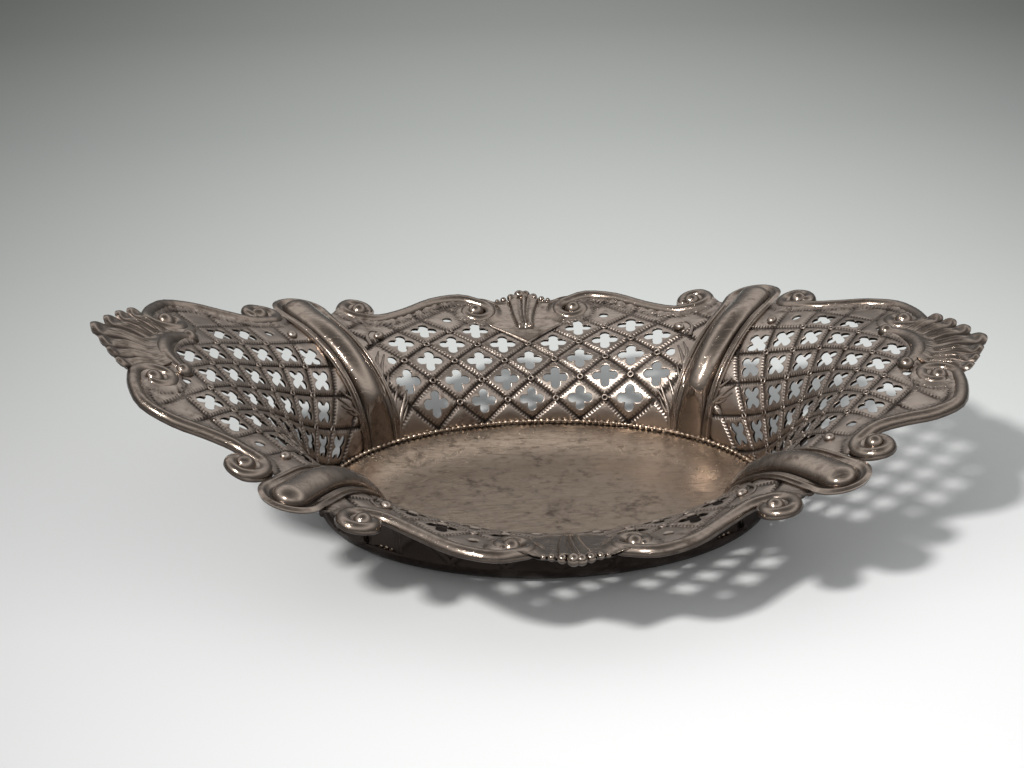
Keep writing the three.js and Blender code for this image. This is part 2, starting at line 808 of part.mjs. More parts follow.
function panelSolid(alongX, mirrorX, mirrorY) {
  const between = (place) => {
    const angle = Math.abs(alongX ? place.angle : Math.PI / 2 - place.angle);
    const limit = alongX ? fluteAngle(place.spread) : Math.PI / 2 - fluteAngle(place.spread);
    return angle < limit - fluteCoverAngle * degrees && place.spread < panelToShare && place.drop < overrun;
  };
  const scroll = alongX ? endScroll : longScroll;
  const rim = alongX ? endRimOutline : longRimOutline;
  const middle = alongX ? endShellCut() : middleShellCut();
  const sector = sectorOutline(alongX);
  const clear = (place) => {
    const spot = plan(place);
    const folded = vec(Math.abs(spot.x), Math.abs(spot.y));
    const underVolute = [scroll.inner, scroll.outer].some(({ centre, radius }) => (
      folded.distanceTo(centre) < radius));
    return isWithin(sector, spot) && !isWithin(middle, spot) && (underVolute || !isWithin(rim, folded));
  };
  const made = latticeSheet(alongX ? endPattern : longPattern, between, clear);
  const wallOf = alongX ? endPlace : longPlace;
  const at = (side) => ({ across, up }) => {
    const bare = lifted(wallOf(across, up), (side * sheet) / 2);
    bare.z -= endLiftAt(bare.x);
    bare.set(bare.x * mirrorX, bare.y * mirrorY, bare.z);
    bare.z += endLiftAt(bare.x);
    return bare;
  };
  let solid = sheetSolid(made.flat, made.triangles, at(1), at(-1));
  solid = solid.intersect(prism(mirroredOutline(sector, mirrorX, mirrorY), -overrun, cutterTop));
  solid = solid.subtract(prism(footTrim(), -2 * overrun, footHeight + seamGap / 2));
  for (const flip of [-1, 1]) {
    const flipX = alongX ? mirrorX : flip;
    const flipY = alongX ? flip : mirrorY;
    const standing = (outline) => prism(mirroredOutline(outline, flipX, flipY), -overrun, cutterTop);
    let cutter = standing(rim);
    for (const volute of [scroll.inner, scroll.outer]) {
      cutter = cutter.subtract(standing(discOutline(volute, wireRadius)));
    }
    solid = solid.subtract(cutter);
  }
  return solid.subtract(prism(mirroredOutline(middle, mirrorX, mirrorY), -overrun, cutterTop));
}

// The panel runs on under the collar and stops short of the shell behind it.
function endShellCut() {
  const { root, sweepAngle } = endShell;
  const past = root - collarBow - seamGap;
  const edgeTurn = sweepAngle + seamGap / root / degrees;
  const arc = collarArc(past, edgeTurn, 6);
  return [...arc, collarPoint(edgeTurn, farOut), collarPoint(-edgeTurn, farOut)];
}

function middleShellCut() {
  const { centre, root, sweepAngle } = middleShell;
  const along = vec(Math.sin(sweepAngle * degrees), Math.cos(sweepAngle * degrees));
  const edge = vec(along.y, -along.x).multiplyScalar(seamGap).add(centre);
  const low = edge.clone().addScaledVector(along, root - seamGap);
  const high = edge.clone().addScaledVector(along, longScroll.inner.centre.x / along.x);
  const half = [low, high, vec(high.x, farOut)];
  return [...half, ...mirroredOutline(half, -1, 1).reverse()];
}

// Floor plate: flat oval, its edge turned up in a cove to the seam.

function floorSolid() {
  const around = 32;
  const bends = 3;
  const cove = footHeight;
  const coveProfile = (radius) => Array.from({ length: bends + 1 }, (_, i) => {
    const turn = (i / bends) * Math.PI / 2;
    return [cove - radius * Math.sin(turn), cove - radius * Math.cos(turn)];
  });
  const outside = coveProfile(cove);
  const inside = coveProfile(cove - floorGauge);
  const rings = [...outside, ...inside.slice().reverse()];
  rings[outside.length - 1][1] -= seamGap / 2;
  rings[outside.length][1] -= seamGap / 2;
  const points = [];
  const triangles = [];
  for (const [inset, height] of rings) {
    for (let i = 0; i < around; i += 1) {
      const turn = (i / around) * Math.PI * 2;
      points.push(new THREE.Vector3(
        (footHalfLength + sheet / 2 - inset) * Math.cos(turn),
        (footHalfWidth + sheet / 2 - inset) * Math.sin(turn),
        height,
      ));
    }
  }
  for (let r = 0; r + 1 < rings.length; r += 1) {
    for (let i = 0; i < around; i += 1) {
      const a = r * around + i;
      const b = r * around + ((i + 1) % around);
      triangles.push([a, b, b + around], [a, b + around, a + around]);
    }
  }
  const low = points.length;
  points.push(new THREE.Vector3(0, 0, 0), new THREE.Vector3(0, 0, floorGauge));
  const top = (rings.length - 1) * around;
  for (let i = 0; i < around; i += 1) {
    const next = (i + 1) % around;
    triangles.push([low, next, i], [low + 1, top + i, top + next]);
  }
  return solidFrom(points, triangles);
}

function beadWireSolid() {
  const around = 40;
  const sides = 4;
  const inset = sheet / 2 + beadClearance + beadRadius;
  const points = [];
  const triangles = [];
  for (let i = 0; i < around; i += 1) {
    const turn = (i / around) * Math.PI * 2;
    for (let k = 0; k < sides; k += 1) {
      const lean = (k / sides) * Math.PI * 2;
      const outward = beadRadius * Math.cos(lean) - inset;
      points.push(new THREE.Vector3(
        (footHalfLength + outward) * Math.cos(turn),
        (footHalfWidth + outward) * Math.sin(turn),
        footHeight + beadRadius * Math.sin(lean),
      ));
      const a = i * sides + k;
      const b = i * sides + ((k + 1) % sides);
      const step = ((i + 1) % around) * sides - i * sides;
      triangles.push([a, b, b + step], [a, b + step, a + step]);
    }
  }
  return solidFrom(points, triangles);
}

// Assembly

addPiece('floor_plate', toGeometry(floorSolid()), 0x84766a);
addPiece('floor_bead_wire', toGeometry(beadWireSolid()), 0x94857a);
addPiece('back_panel', toGeometry(panelSolid(false, 1, 1)), 0x7b6c62);
addPiece('front_panel', toGeometry(panelSolid(false, 1, -1)), 0x7b6c62);
addPiece('right_end_panel', toGeometry(panelSolid(true, 1, 1)), 0x7b6c62);
addPiece('left_end_panel', toGeometry(panelSolid(true, -1, 1)), 0x7b6c62);

const quarters = [
  ['back_right', 1, 1],
  ['back_left', -1, 1],
  ['front_right', 1, -1],
  ['front_left', -1, -1],
];
for (const [quarter, mirrorX, mirrorY] of quarters) {
  addPiece(`${quarter}_flute`, toGeometry(fluteSolid(mirrorX, mirrorY)), 0x80726a);
  addPiece(`${quarter}_long_scroll`, toGeometry(scrollSolid(longScroll, mirrorX, mirrorY)), 0x80726a);
  addPiece(`${quarter}_end_scroll`, toGeometry(scrollSolid(endScroll, mirrorX, mirrorY)), 0x80726a);
}

for (const [side, mirrorY] of [['back', 1], ['front', -1]]) {
  let shell = fanSolid(middleShell, 1, mirrorY);
  for (const flip of [-1, 1]) {
    const disc = discOutline(longScroll.inner, wireRadius + seamGap);
    shell = shell.subtract(prism(mirroredOutline(disc, flip, mirrorY), -overrun, cutterTop));
  }
  addPiece(`${side}_middle_shell`, toGeometry(shell), 0x80726a);
}

for (const [side, mirrorX] of [['right', 1], ['left', -1]]) {
  let shell = fanSolid(endShell, mirrorX, 1);
  for (const flip of [-1, 1]) {
    const disc = discOutline(endScroll.inner, wireRadius + seamGap);
    shell = shell.subtract(prism(mirroredOutline(disc, mirrorX, flip), -overrun, cutterTop));
  }
  addPiece(`${side}_end_shell`, toGeometry(shell), 0x80726a);
  addPiece(`${side}_collar`, toGeometry(collarSolid(mirrorX)), 0x80726a);
}

export default group;
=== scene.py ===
"""Oval pierced bonbon dish of old stamped silver, dressed over its CAD frame.

The wall of the dish is one smooth surface. Each pierced panel, flute, scroll and shell is
shaped flat or in plan, in millimetres, and then laid on that surface. Meshes are in metres.
"""

import logging
import math
from dataclasses import dataclass
from enum import Enum
from typing import Callable

import bpy
import numpy as np
from mathutils import Matrix, Vector


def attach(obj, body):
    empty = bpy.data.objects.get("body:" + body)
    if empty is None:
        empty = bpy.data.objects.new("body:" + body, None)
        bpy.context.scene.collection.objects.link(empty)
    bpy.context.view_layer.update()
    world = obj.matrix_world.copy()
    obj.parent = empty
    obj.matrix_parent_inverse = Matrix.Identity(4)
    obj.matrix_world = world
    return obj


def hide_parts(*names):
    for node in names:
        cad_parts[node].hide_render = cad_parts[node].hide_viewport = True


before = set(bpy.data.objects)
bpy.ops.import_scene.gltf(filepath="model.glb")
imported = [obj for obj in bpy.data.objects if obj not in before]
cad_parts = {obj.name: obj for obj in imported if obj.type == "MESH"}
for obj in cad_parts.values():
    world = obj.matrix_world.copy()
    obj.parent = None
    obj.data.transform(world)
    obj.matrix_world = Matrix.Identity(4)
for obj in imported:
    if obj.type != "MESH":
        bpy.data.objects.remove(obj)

LOG = logging.getLogger("bonbon_dish")
METRES_PER_MM = 0.001
CRISP_ANGLE = 50.0
WELD_REACH = 0.0005
FACING_LIFT = 0.1
NEARLY_ZERO = 1e-12
LEAST_NORMAL = 1e-9
# Darkness on the back of every sheet: painted shade on the outsides.
PAINTED_BACK_SHADE = 1.0
Colour = tuple[float, float, float]


# Node trees


class Wire:
    """An output socket of a node tree. Python's arithmetic on it adds Math nodes."""

    def __init__(self, nodes: "Nodes", socket: bpy.types.NodeSocket) -> None:
        """Keeps the socket and the tree that it belongs to."""
        self.nodes = nodes
        self.socket = socket

    def maths(self, operation: str, *others: "Wire | float", first: "Wire | float | None" = None) -> "Wire":
        """Adds one Math node."""
        operands = [self, *others] if first is None else [first, self, *others]
        return self.nodes.out("ShaderNodeMath", {"operation": operation}, dict(enumerate(operands)))

    def __add__(self, other: "Wire | float") -> "Wire":
        """Sum."""
        return self.maths("ADD", other)

    __radd__ = __add__

    def __mul__(self, other: "Wire | float") -> "Wire":
        """Product."""
        return self.maths("MULTIPLY", other)

    def __sub__(self, other: "Wire | float") -> "Wire":
        """Difference."""
        return self.maths("SUBTRACT", other)

    def __rsub__(self, other: "Wire | float") -> "Wire":
        """Difference with this socket second."""
        return self.maths("SUBTRACT", first=other)

    def __truediv__(self, other: "Wire | float") -> "Wire":
        """Quotient."""
        return self.maths("DIVIDE", other)

    def rises(self, low: float, high: float) -> "Wire":
        """A smooth step of this value.

        Args:
            low: value at which the step is 0.
            high: value at which it is 1. It may be the smaller one.

        Returns:
            The step, from 0 to 1.
        """
        flip = high < low
        ends = (high, low) if flip else (low, high)
        step = self.nodes.out(
            "ShaderNodeMapRange",
            {"interpolation_type": "SMOOTHSTEP"},
            {"Value": self, "From Min": ends[0], "From Max": ends[1]},
        )
        return 1.0 - step if flip else step


Feed = Wire | float | Colour | bool | int


class Nodes:
    """Adds nodes to one tree and feeds their sockets."""

    def __init__(self, tree: bpy.types.NodeTree) -> None:
        """Starts on a tree."""
        self.tree = tree

    def node(self, kind: str, settings: dict | None = None, feeds: dict | None = None) -> bpy.types.Node:
        """Adds a node, sets it, then feeds its sockets.

        Args:
            kind: the node's type.
            settings: its own properties. A ramp's stops are given as "stops".
            feeds: socket name or number to a value or a Wire.

        Returns:
            The node.
        """
        node = self.tree.nodes.new(kind)
        for key, value in (settings or {}).items():
            if key == "stops":
                self._set_stops(node.color_ramp, value)
            else:
                setattr(node, key, value)
        for key, value in (feeds or {}).items():
            socket = node.inputs[key]
            for one in value if isinstance(value, list) else [value]:
                if isinstance(one, Wire):
                    self.tree.links.new(one.socket, socket)
                elif isinstance(one, tuple) and len(socket.default_value) == len(one) + 1:
                    socket.default_value = (*one, 1.0)
                else:
                    socket.default_value = one
        return node

    def out(
        self, kind: str, settings: dict | None = None, feeds: dict | None = None, name: str | int = 0
    ) -> Wire:
        """Adds a node and takes one of its outputs."""
        return Wire(self, self.node(kind, settings, feeds).outputs[name])

    def blend(self, share: Feed, low: Feed, high: Feed) -> Wire:
        """Mixes two colours.

        Args:
            share: how much of the second colour shows.
            low: first colour.
            high: second colour.

        Returns:
            The mixed colour.
        """
        node = self.node("ShaderNodeMix", {"data_type": "RGBA", "clamp_factor": True}, {"Factor": share})
        sockets = {socket.identifier: socket for socket in [*node.inputs, *node.outputs]}
        for key, value in (("A_Color", low), ("B_Color", high)):
            if isinstance(value, Wire):
                self.tree.links.new(value.socket, sockets[key])
            else:
                sockets[key].default_value = (*value, 1.0)
        return Wire(self, sockets["Result_Color"])

    @staticmethod
    def _set_stops(ramp: bpy.types.ColorRamp, stops: list[tuple[float, Colour]]) -> None:
        """Sets a ramp's stops.

        Args:
            ramp: the ramp.
            stops: places and colours, in order.
        """
        while len(ramp.elements) < len(stops):
            ramp.elements.new(1.0)
        for element, (place, colour) in zip(ramp.elements, stops):
            element.position = place
            element.color = (*colour, 1.0)


# Finishes


class Mark(Enum):
    """Values that the meshes carry for the finishes."""

    # Darkness towards a near-black colour: tarnish, and painted shade in hollows, on low relief and on
    # outsides.
    HOLLOW = "hollow"
    MILL = "mill"


@dataclass(frozen=True)
class SilverFinish:
    """Old stamped silver: brown tarnish in patches, and a near-black colour where the meshes mark it, which
    is tarnish and painted shade in the hollows and on the outsides; lighter on what stands up.
    """

    name: str
    metal: Colour = (0.4, 0.335, 0.288)
    tarnish: Colour = (0.15, 0.109, 0.087)
    # Near-black colour of the marked parts: tarnish and painted shade.
    hollow: Colour = (0.05, 0.039, 0.034)
    polish: float = 0.3
    dullness: float = 0.2
    dark_dullness: float = 0.25
    cloud_size: float = 0.012
    cloud_share: float = 0.45
    spot_size: float = 0.0016
    spot_share: float = 0.55
    cover_edge: tuple[float, float] = (0.5, 0.72)
    mottle: float = 0.5
    cloud_detail: float = 4.0
    spot_detail: float = 5.0
    dent_detail: float = 2.0
    scratch_detail: float = 3.0
    dent_height: float = 0.00025
    dent_size: float = 0.004
    pitting_share: float = 0.12
    scratch_height: float = 0.00001
    scratch_size: float = 0.004
    scratch_turns: tuple[float, float] = (0.4, 1.9)
    scratch_tilt: tuple[float, float] = (0.3, 0.2)
    scratch_stretch: tuple[float, float, float] = (1.0, 22.0, 4.0)
    scratch_edge: tuple[float, float] = (0.6, 0.7)
    mill_height: float = 0.0
    mill_pitch: float = 0.62
    mill_dark: float = 0.6
    punch_size: float = 0.0007
    punch_height: float = 0.00009
    punch_edge: tuple[float, float] = (0.1, 0.5)

    def build(self) -> bpy.types.Material:
        """Builds the material.

        Returns:
            The material.
        """
        material = bpy.data.materials.new(self.name)
        material.use_nodes = True
        material.node_tree.nodes.clear()
        nodes = Nodes(material.node_tree)
        place = nodes.out("ShaderNodeTexCoord", name="Object")
        hollow = nodes.out("ShaderNodeAttribute", {"attribute_name": Mark.HOLLOW.value}, name="Fac")
        cloud = self._noise(nodes, place, self.cloud_size, self.cloud_detail)
        spots = self._noise(nodes, place, self.spot_size, self.spot_detail)
        cover = (cloud * self.cloud_share + spots * self.spot_share).rises(*self.cover_edge)
        tone = nodes.blend(cover, self.metal, self.tarnish)
        dark = hollow + (spots - 0.5) * self.mottle * hollow
        if self.mill_height:
            teeth, _ = self._milling(nodes)
            dark = dark + teeth * self.mill_dark
        dark = dark.rises(0.0, 1.0)
        # Painted shade and tarnish: the marked parts blend towards the near-black colour.
        colour = nodes.blend(dark, tone, self.hollow)
        roughness = self.polish + cover * self.dullness + dark * self.dark_dullness
        height = self._height(nodes, place, spots)
        normal = nodes.out("ShaderNodeBump", {}, {"Strength": 1.0, "Distance": 1.0, "Height": height})
        shader = nodes.out(
            "ShaderNodeBsdfPrincipled",
            {},
            {"Base Color": colour, "Roughness": roughness, "Metallic": 1.0, "Normal": normal},
        )
        nodes.node("ShaderNodeOutputMaterial", {}, {"Surface": shader})
        return material

    def _height(self, nodes: Nodes, place: Wire, spots: Wire) -> Wire:
        """Relief too fine for the mesh: dents, scratches and milled edges, in metres.

        Args:
            nodes: the material's tree.
            place: object coordinates.
            spots: fine noise.

        Returns:
            The height.
        """
        dents = self._noise(nodes, place, self.dent_size, self.dent_detail)
        height = dents * self.dent_height + spots * (self.dent_height * self.pitting_share)
        for turn in self.scratch_turns:
            feeds = {"Vector": place, "Rotation": (*self.scratch_tilt, turn), "Scale": self.scratch_stretch}
            turned = nodes.out("ShaderNodeMapping", {}, feeds)
            grain = self._noise(nodes, turned, self.scratch_size, self.scratch_detail)
            height = height + grain.rises(*self.scratch_edge) * -self.scratch_height
        if self.mill_height:
            teeth, stipple = self._milling(nodes)
            height = height - teeth * self.mill_height
            punched = nodes.out("ShaderNodeTexVoronoi", {}, {"Vector": place, "Scale": 1.0 / self.punch_size})
            height = height + punched.rises(*self.punch_edge) * stipple * self.punch_height
        return height

    def _milling(self, nodes: Nodes) -> tuple[Wire, Wire]:
        """The milled edges and the stippled ground.

        Args:
            nodes: the material's tree.

        Returns:
            How far a spot lies in a milled notch, and how far in the stippled ground.
        """
        mill = nodes.out("ShaderNodeAttribute", {"attribute_name": Mark.MILL.value}, name="Vector")
        parts = nodes.node("ShaderNodeSeparateXYZ", {}, {"Vector": mill})
        teeth = (Wire(nodes, parts.outputs["Y"]) * (math.tau / self.mill_pitch)).maths("SINE") * 0.5 + 0.5
        return teeth * Wire(nodes, parts.outputs["X"]), Wire(nodes, parts.outputs["Z"])

    @staticmethod
    def _noise(nodes: Nodes, place: Wire, size: float, detail: float) -> Wire:
        """Noise whose features are about a given size."""
        feeds = {"Vector": place, "Scale": 1.0 / size, "Detail": detail}
        return nodes.out("ShaderNodeTexNoise", {}, feeds)


class Finishes:
    """The dish's finishes, built once and shared."""

    def __init__(self) -> None:
        """Builds every finish."""
        self.lattice = SilverFinish("pierced_sheet", mill_height=0.00009, dent_height=0.00014).build()
        self.mounts = SilverFinish(
            "stamped_mounts",
            metal=(0.31, 0.254, 0.212),
            tarnish=(0.135, 0.1, 0.08),
            polish=0.15,
            dent_height=0.00012,
        ).build()
        self.floor = SilverFinish(
            "worn_floor",
            metal=(0.54, 0.43, 0.335),
            tarnish=(0.2, 0.15, 0.118),
            polish=0.2,
            dent_height=0.00012,
            dent_size=0.007,
            scratch_height=0.00008,
        ).build()


# Surface and sheet work


@dataclass(frozen=True)
class Wall:
    """The wall of the dish over its plan. Spread is 1 at the foot and grows outwards."""

    foot_half_length: float = 42.5
    foot_half_width: float = 31.4
    foot_height: float = 3.3
    shoulder_share: float = 0.53
    long_shoulder_rise: float = 11.2
    end_shoulder_rise: float = 24.6
    long_slope_share: float = 0.17
    end_slope_share: float = 0.16
    left_end_lift: float = 3.9
    right_end_lift: float = -3.9
    lift_start_share: float = 1.27
    half_length_share: float = 1.9382
    top_share: float = 2.3
    table_stations: int = 401

    def lift(self, x: np.ndarray) -> np.ndarray:
        """How far the sprung ends stand up or down.

        Args:
            x: places along the dish.

        Returns:
            The lift at each.
        """
        start = self.lift_start_share * self.foot_half_length
        reach = self.half_length_share * self.foot_half_length - start
        share = np.clip((np.abs(x) - start) / reach, 0, None)
        return share * np.where(x < 0, self.left_end_lift, self.right_end_lift)

    def point(self, spread: np.ndarray, angle: np.ndarray) -> np.ndarray:
        """Points of the wall.

        Args:
            spread: share of the foot's ellipse.
            angle: the ellipse's own angle.

        Returns:
            The points, one row each.
        """
        x, y = np.moveaxis(self.plan(spread, angle), -1, 0)
        end_share = np.cos(angle) ** 2
        rise = self.long_shoulder_rise + (self.end_shoulder_rise - self.long_shoulder_rise) * end_share
        slope = self.long_slope_share + (self.end_slope_share - self.long_slope_share) * end_share
        inside = 1 - np.minimum(1, (spread - 1) / self.shoulder_share)
        outward = np.hypot(x, y) * (1 - 1 / spread)
        z = self.foot_height + rise * np.sqrt(np.maximum(0, 1 - inside**2)) + slope * outward
        return np.stack([x, y, z + self.lift(x)], axis=-1)

    def normal(self, spread: np.ndarray, angle: np.ndarray) -> np.ndarray:
        """Directions square to the wall, to its inner side.

        Args:
            spread: share of the foot's ellipse.
            angle: the ellipse's own angle.

        Returns:
            Unit vectors, one row each.
        """
        nudge = 0.01
        bend = np.arccos(np.clip(1 - (spread - 1) / self.shoulder_share, 0, 1))
        bend = np.maximum(nudge, bend)
        curved = spread < 1 + self.shoulder_share
        low = np.where(curved, 1 + self.shoulder_share * (1 - np.cos(bend - nudge)), spread - nudge)
        high = np.where(curved, 1 + self.shoulder_share * (1 - np.cos(bend + nudge)), spread + nudge)
        up = self.point(high, angle) - self.point(low, angle)
        around = self.point(spread, angle + nudge) - self.point(spread, angle - nudge)
        square = np.cross(up, around)
        return square / np.linalg.norm(square, axis=-1, keepdims=True)

    def laid(
        self, spread: np.ndarray, angle: np.ndarray, drop: np.ndarray, height: np.ndarray, quarter: "Quarter"
    ) -> np.ndarray:
        """Lays heights on the wall, in one of its mirrored quarters.

        Args:
            spread: share of the foot's ellipse.
            angle: the ellipse's own angle.
            drop: how far below the foot line.
            height: height over the sheet's middle.
            quarter: which quarter the pattern is laid in.

        Returns:
            The points.
        """
        spread = np.maximum(spread, 1)
        spot = self.point(spread, angle)
        spot[:, 2] -= drop
        spot += self.normal(spread, angle) * height[:, None]
        spot[:, 2] -= self.lift(spot[:, 0])
        spot[:, 0] *= quarter.x
        spot[:, 1] *= quarter.y
        spot[:, 2] += self.lift(spot[:, 0])
        return spot

    def over_plan(self, plan: np.ndarray, height: np.ndarray, quarter: "Quarter") -> np.ndarray:
        """Lays heights over spots of the plan.

        Args:
            plan: spots, one row each.
            height: height over the sheet's middle at each.
            quarter: which quarter they are mirrored to.

        Returns:
            The points.
        """
        x = plan[:, 0] / self.foot_half_length
        y = plan[:, 1] / self.foot_half_width
        return self.laid(np.hypot(x, y), np.arctan2(y, x), np.zeros(len(plan)), height, quarter)

    def rise_table(self, angle: float) -> tuple[np.ndarray, np.ndarray]:
        """Lengths up the middle of a side.

        Args:
            angle: the middle's angle.

        Returns:
            Lengths, and the spread at each.
        """
        bend = np.linspace(0, math.pi / 2, self.table_stations)
        spread = np.append(1 + self.shoulder_share * (1 - np.cos(bend)), self.top_share)
        spots = self.point(spread, np.full(len(spread), angle))
        spots[:, 2] -= self.lift(spots[:, 0])
        steps = np.linalg.norm(np.diff(spots, axis=0), axis=1)
        return np.append(0, np.cumsum(steps)), spread

    def plan(self, spread: np.ndarray, angle: np.ndarray) -> np.ndarray:
        """Spots of the plan."""
        x = spread * self.foot_half_length * np.cos(angle)
        return np.stack([x, spread * self.foot_half_width * np.sin(angle)], axis=-1)


WALL = Wall()


class Quarter(Enum):
    """Ways in which a pattern of the first quarter is mirrored."""

    BACK_RIGHT = (1, 1)
    BACK_LEFT = (-1, 1)
    FRONT_RIGHT = (1, -1)
    FRONT_LEFT = (-1, -1)

    @property
    def x(self) -> int:
        """Sign along the dish."""
        return self.value[0]

    @property
    def y(self) -> int:
        """Sign across the dish."""
        return self.value[1]

    @property
    def label(self) -> str:
        """Name in a piece's name."""
        return self.name.lower()


@dataclass
class Patch:
    """Loose sheet work: values at points, and triangles between them."""

    values: dict[str, np.ndarray]
    triangles: np.ndarray

    def cut(self, side: Callable[[dict[str, np.ndarray]], np.ndarray]) -> "Patch":
        """Keeps what lies on the positive side of a line.

        Args:
            side: gives the side from the values.

        Returns:
            The part kept, with the crossing triangles split.
        """
        sides = side(self.values)
        kept = sides >= 0
        count = kept[self.triangles].sum(axis=1)
        whole = self.triangles[count == 3]
        halves = self.triangles[(count == 1) | (count == 2)]
        edges: dict[tuple[int, int], int] = {}
        lows: list[int] = []
        highs: list[int] = []
        start = len(sides)

        def crossing(a: int, b: int) -> int:
            """Number of the new point on an edge.

            Args:
                a: one end of the edge.
                b: its other end.

            Returns:
                The number.
            """
            key = (min(a, b), max(a, b))
            if key not in edges:
                edges[key] = start + len(lows)
                lows.append(key[0])
                highs.append(key[1])
            return edges[key]

        made = []
        for triangle in halves:
            turn = next(
                k for k in range(3) if kept[triangle[k]] != kept[triangle[k - 1]] and
                kept[triangle[k]] != kept[triangle[(k + 1) % 3]]
            )
            a, b, c = (int(triangle[(turn + k) % 3]) for k in range(3))
            ab = crossing(a, b)
            ca = crossing(c, a)
            if kept[a]:
                made.append((a, ab, ca))
            else:
                made.extend([(ab, b, c), (ab, c, ca)])
        low = np.array(lows, int)
        high = np.array(highs, int)
        share = sides[low] / (sides[low] - sides[high]) if len(lows) else np.zeros(0)
        values = {}
        for name, value in self.values.items():
            weight = share if value.ndim == 1 else share[:, None]
            values[name] = np.concatenate([value, value[low] * (1 - weight) + value[high] * weight])
        triangles = np.concatenate([whole, np.array(made, int).reshape(-1, 3)])
        used = np.unique(triangles)
        renumber = np.zeros(len(next(iter(values.values()))), int)
        renumber[used] = np.arange(len(used))
        return Patch({name: value[used] for name, value in values.items()}, renumber[triangles])


def depth_inside(corners: np.ndarray, spots: np.ndarray) -> np.ndarray:
    """How deep spots lie inside a closed outline in plan; negative outside.

    Args:
        corners: the outline's corners, in order.
        spots: one row each.

    Returns:
        Distances to the outline.
    """
    nearest = np.full(len(spots), np.inf)
    inside = np.zeros(len(spots), bool)
    for a, b in zip(corners, np.roll(corners, -1, axis=0)):
        run = b - a
        share = np.clip(((spots - a) @ run) / max(NEARLY_ZERO, run @ run), 0, 1)
        nearest = np.minimum(nearest, np.linalg.norm(spots - a - share[:, None] * run, axis=1))
        if a[1] != b[1]:
            crosses = (a[1] > spots[:, 1]) != (b[1] > spots[:, 1])
            at = a[0] + (spots[:, 1] - a[1]) / (b[1] - a[1]) * run[0]
            inside ^= crosses & (spots[:, 0] < at)
    return np.where(inside, nearest, -nearest)


def step(value: np.ndarray, low: float, high: float) -> np.ndarray:
    """A smooth step."""
    share = np.clip((value - low) / (high - low), 0, 1)
    return share * share * (3 - 2 * share)


def tone_and_low_shade(rise: np.ndarray, low: float, high: float, least: float = 0.0, more: float = 1.0) -> np.ndarray:
    """Darkness of relief by its height: least, an even darker tone, from high upwards, and more, painted
    shade, added from low downwards where the relief meets the sheet.
    """
    return least + more * (1 - step(rise, low, high))


def grid_triangles(rows: int, columns: int, closed: bool = False) -> np.ndarray:
    """Triangles of a grid whose points are numbered row by row.

    Args:
        rows: rows of points.
        columns: points to a row.
        closed: whether the last row joins the first.

    Returns:
        The triangles.
    """
    last = rows if closed else rows - 1
    i, j = np.meshgrid(np.arange(last), np.arange(columns - 1), indexing="ij")
    a = (i * columns + j).ravel()
    b = (((i + 1) % rows) * columns + j).ravel()
    return np.concatenate([np.stack([a, a + 1, b + 1], 1), np.stack([a, b + 1, b], 1)])


